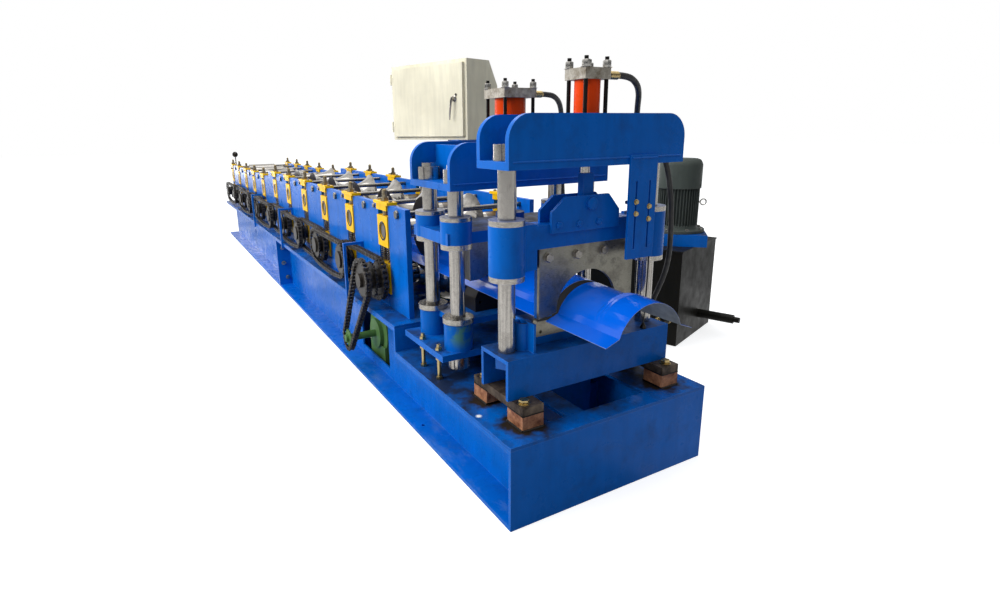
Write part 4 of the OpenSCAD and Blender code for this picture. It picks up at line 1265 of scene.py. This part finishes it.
def make_motor_details():
    parts = Parts()
    x, y = MOTOR_AT
    eye_x = x + EYE_REACH * EYE_WAY[0]
    eye_y = y + EYE_REACH * EYE_WAY[1]
    centre = Vector((eye_x + 0.030, eye_y - 0.018, EYE_Z))
    ring = []
    for k in range(EYE_STEPS + 1):
        angle = math.tau * k / EYE_STEPS
        out = EYE_R * math.cos(angle)
        ring.append(centre + Vector((out * EYE_WAY[0], out * EYE_WAY[1], EYE_R * math.sin(angle))))
    parts.tube(ring, 0.0042, 8)
    collar = [(0, 0), (0.007, 0), (0.011, 0.006), (0.006, 0.012), (0.005, 0.018)]
    parts.revolve(collar, (eye_x - 0.004, eye_y + 0.002, EYE_Z), EYE_WAY, 12)
    parts.piece("motor_lifting_eye", zinc)
    bolts = Parts()
    for k in range(8):
        around = polar(x, y, FLANGE_BOLT_R, math.tau * (k + 0.5) / 8)
        bolts.bolt((*around, 0.660), UP, 0.006, k)
    bolts.piece("motor_flange_bolts", nut_steel)
    grille = Parts()
    for radius in FAN_RINGS:
        rib = [(radius, 0), (radius + 0.003, 0.003), (radius + 0.009, 0.003), (radius + 0.012, 0)]
        grille.revolve(rib, (x, y, COWL_TOP_Z), sides=48)
    for k in range(4):
        angle = math.tau * k / 4 + 0.4
        screw = [(0, 0), (0.0055, 0), (0.005, 0.003), (0, 0.0035)]
        out = (math.cos(angle), math.sin(angle), 0)
        grille.revolve(screw, (*polar(x, y, COWL_SCREW_R, angle), 0.925), out, 12)
    grille.piece("fan_cowl_rings", grey)


def make_lever():
    ball = Parts()
    angles = [math.pi * k / BALL_STEPS for k in range(1, BALL_STEPS)]
    profile = [(BALL_R * math.sin(angle), -BALL_R * math.cos(angle)) for angle in angles]
    ball.revolve([(0, -BALL_R)] + profile + [(0, BALL_R)], BALL_AT, sides=28)
    ball.piece("lever_ball", black_oxide)


make_door_handle()
make_pump_motor()
make_motor_details()
make_lever()

# Stage and light

FLOOR_SIZE = 40
FLOOR_GREY = 0.30
SEEN_FLOOR_GREY = 0.55
SEEN_FLOOR_GLOW = 0.72


def make_floor():
    """A floor that is white to the camera and keeps the object's shadow."""
    mesh = bpy.data.meshes.new("floor")
    corners = [(x * FLOOR_SIZE, y * FLOOR_SIZE, 0) for x, y in ((-1, -1), (1, -1), (1, 1), (-1, 1))]
    mesh.from_pydata(corners, [], [(0, 1, 2, 3)])
    floor = add_object("floor", mesh)
    floor.location.z = -0.001
    s = Shader("floor_paint")
    path = s.add("ShaderNodeLightPath")
    seen = path.outputs["Is Camera Ray"]
    patches = s.ramp(s.noise(1.1, 1), 0.46, 0.54, 0.12, 1.0)
    shown = s.greater(seen, s.times(path.outputs["Is Glossy Ray"], patches))
    grey_level = s.ramp(seen, 0, 1, FLOOR_GREY, SEEN_FLOOR_GREY)
    s.colour(s.mix(grey_level, (0, 0, 0, 1), (1, 1, 1, 1)))
    s.rough(0.9)
    s.set("Specular IOR Level", 0.0)
    s.set("Emission Color", (1, 1, 1, 1))
    s.set("Emission Strength", s.times(shown, SEEN_FLOOR_GLOW))
    mesh.materials.append(s.material)


def make_world():
    """Soft light, more from the left and above than from the front. The camera sees white."""
    world = bpy.data.worlds.new("world")
    bpy.context.scene.world = world
    world.use_nodes = True
    world.node_tree.nodes.clear()
    w = Nodes(world.node_tree, "Generated")

    def background(*colour):
        return w.add("ShaderNodeBackground", {"Color": (*colour, 1)}).outputs[0]

    def mixed(share, first, second):
        return w.add("ShaderNodeMixShader", {0: share, 1: first, 2: second}).outputs[0]

    ray = w.add("ShaderNodeLightPath").outputs
    along = w.axis("Y")
    windows = w.ramp(w.noise(5.5, 1, (1, 1, 0.12), 0.5), 0.49, 0.55)
    roof = w.ramp(w.axis("Z"), 0.35, 0.75)
    far_end = w.ramp(along, 0.55, 0.85)
    white = background(1, 1, 1)
    dim_front = background(0.36, 0.37, 0.39)
    soft_light = background(0.72, 0.75, 0.78)
    light = mixed(w.greater(w.ramp(along, -0.5, 0.15), roof), dim_front, soft_light)
    room = mixed(w.greater(w.greater(windows, roof), far_end), background(0.05, 0.055, 0.06), white)
    front_room = background(0.07, 0.075, 0.08)
    gloss = mixed(w.greater(w.ramp(along, -0.75, -0.45), roof), front_room, room)
    soft = mixed(ray["Is Glossy Ray"], light, gloss)
    clear = mixed(ray["Is Transmission Ray"], soft, white)
    seen = mixed(ray["Is Camera Ray"], clear, white)
    w.add("ShaderNodeOutputWorld", {"Surface": seen})


def area_light(name, place, target, size, power):
    data = bpy.data.lights.new(name, "AREA")
    data.shape = "RECTANGLE"
    data.size, data.size_y = size
    data.energy = power
    lamp = add_object(name, data)
    aim = Vector(target) - Vector(place)
    lamp.rotation_euler = aim.to_track_quat("-Z", "Y").to_euler()
    lamp.location = place
    return lamp


make_floor()
make_world()
key_light = area_light("key_light", (-6.5, -1.0, 4.5), (0, -1.0, 0.6), (6, 4), 560)
key_light.visible_glossy = False
area_light("top_light", (0.5, 0.5, 6), (0, 0, 0), (5, 9), 300)
area_light("doorway", (-2.2, 9.5, 1.6), (-0.4, 0, 0.7), (2.6, 2.6), 130)

bpy.context.scene.view_settings.view_transform = "Standard"
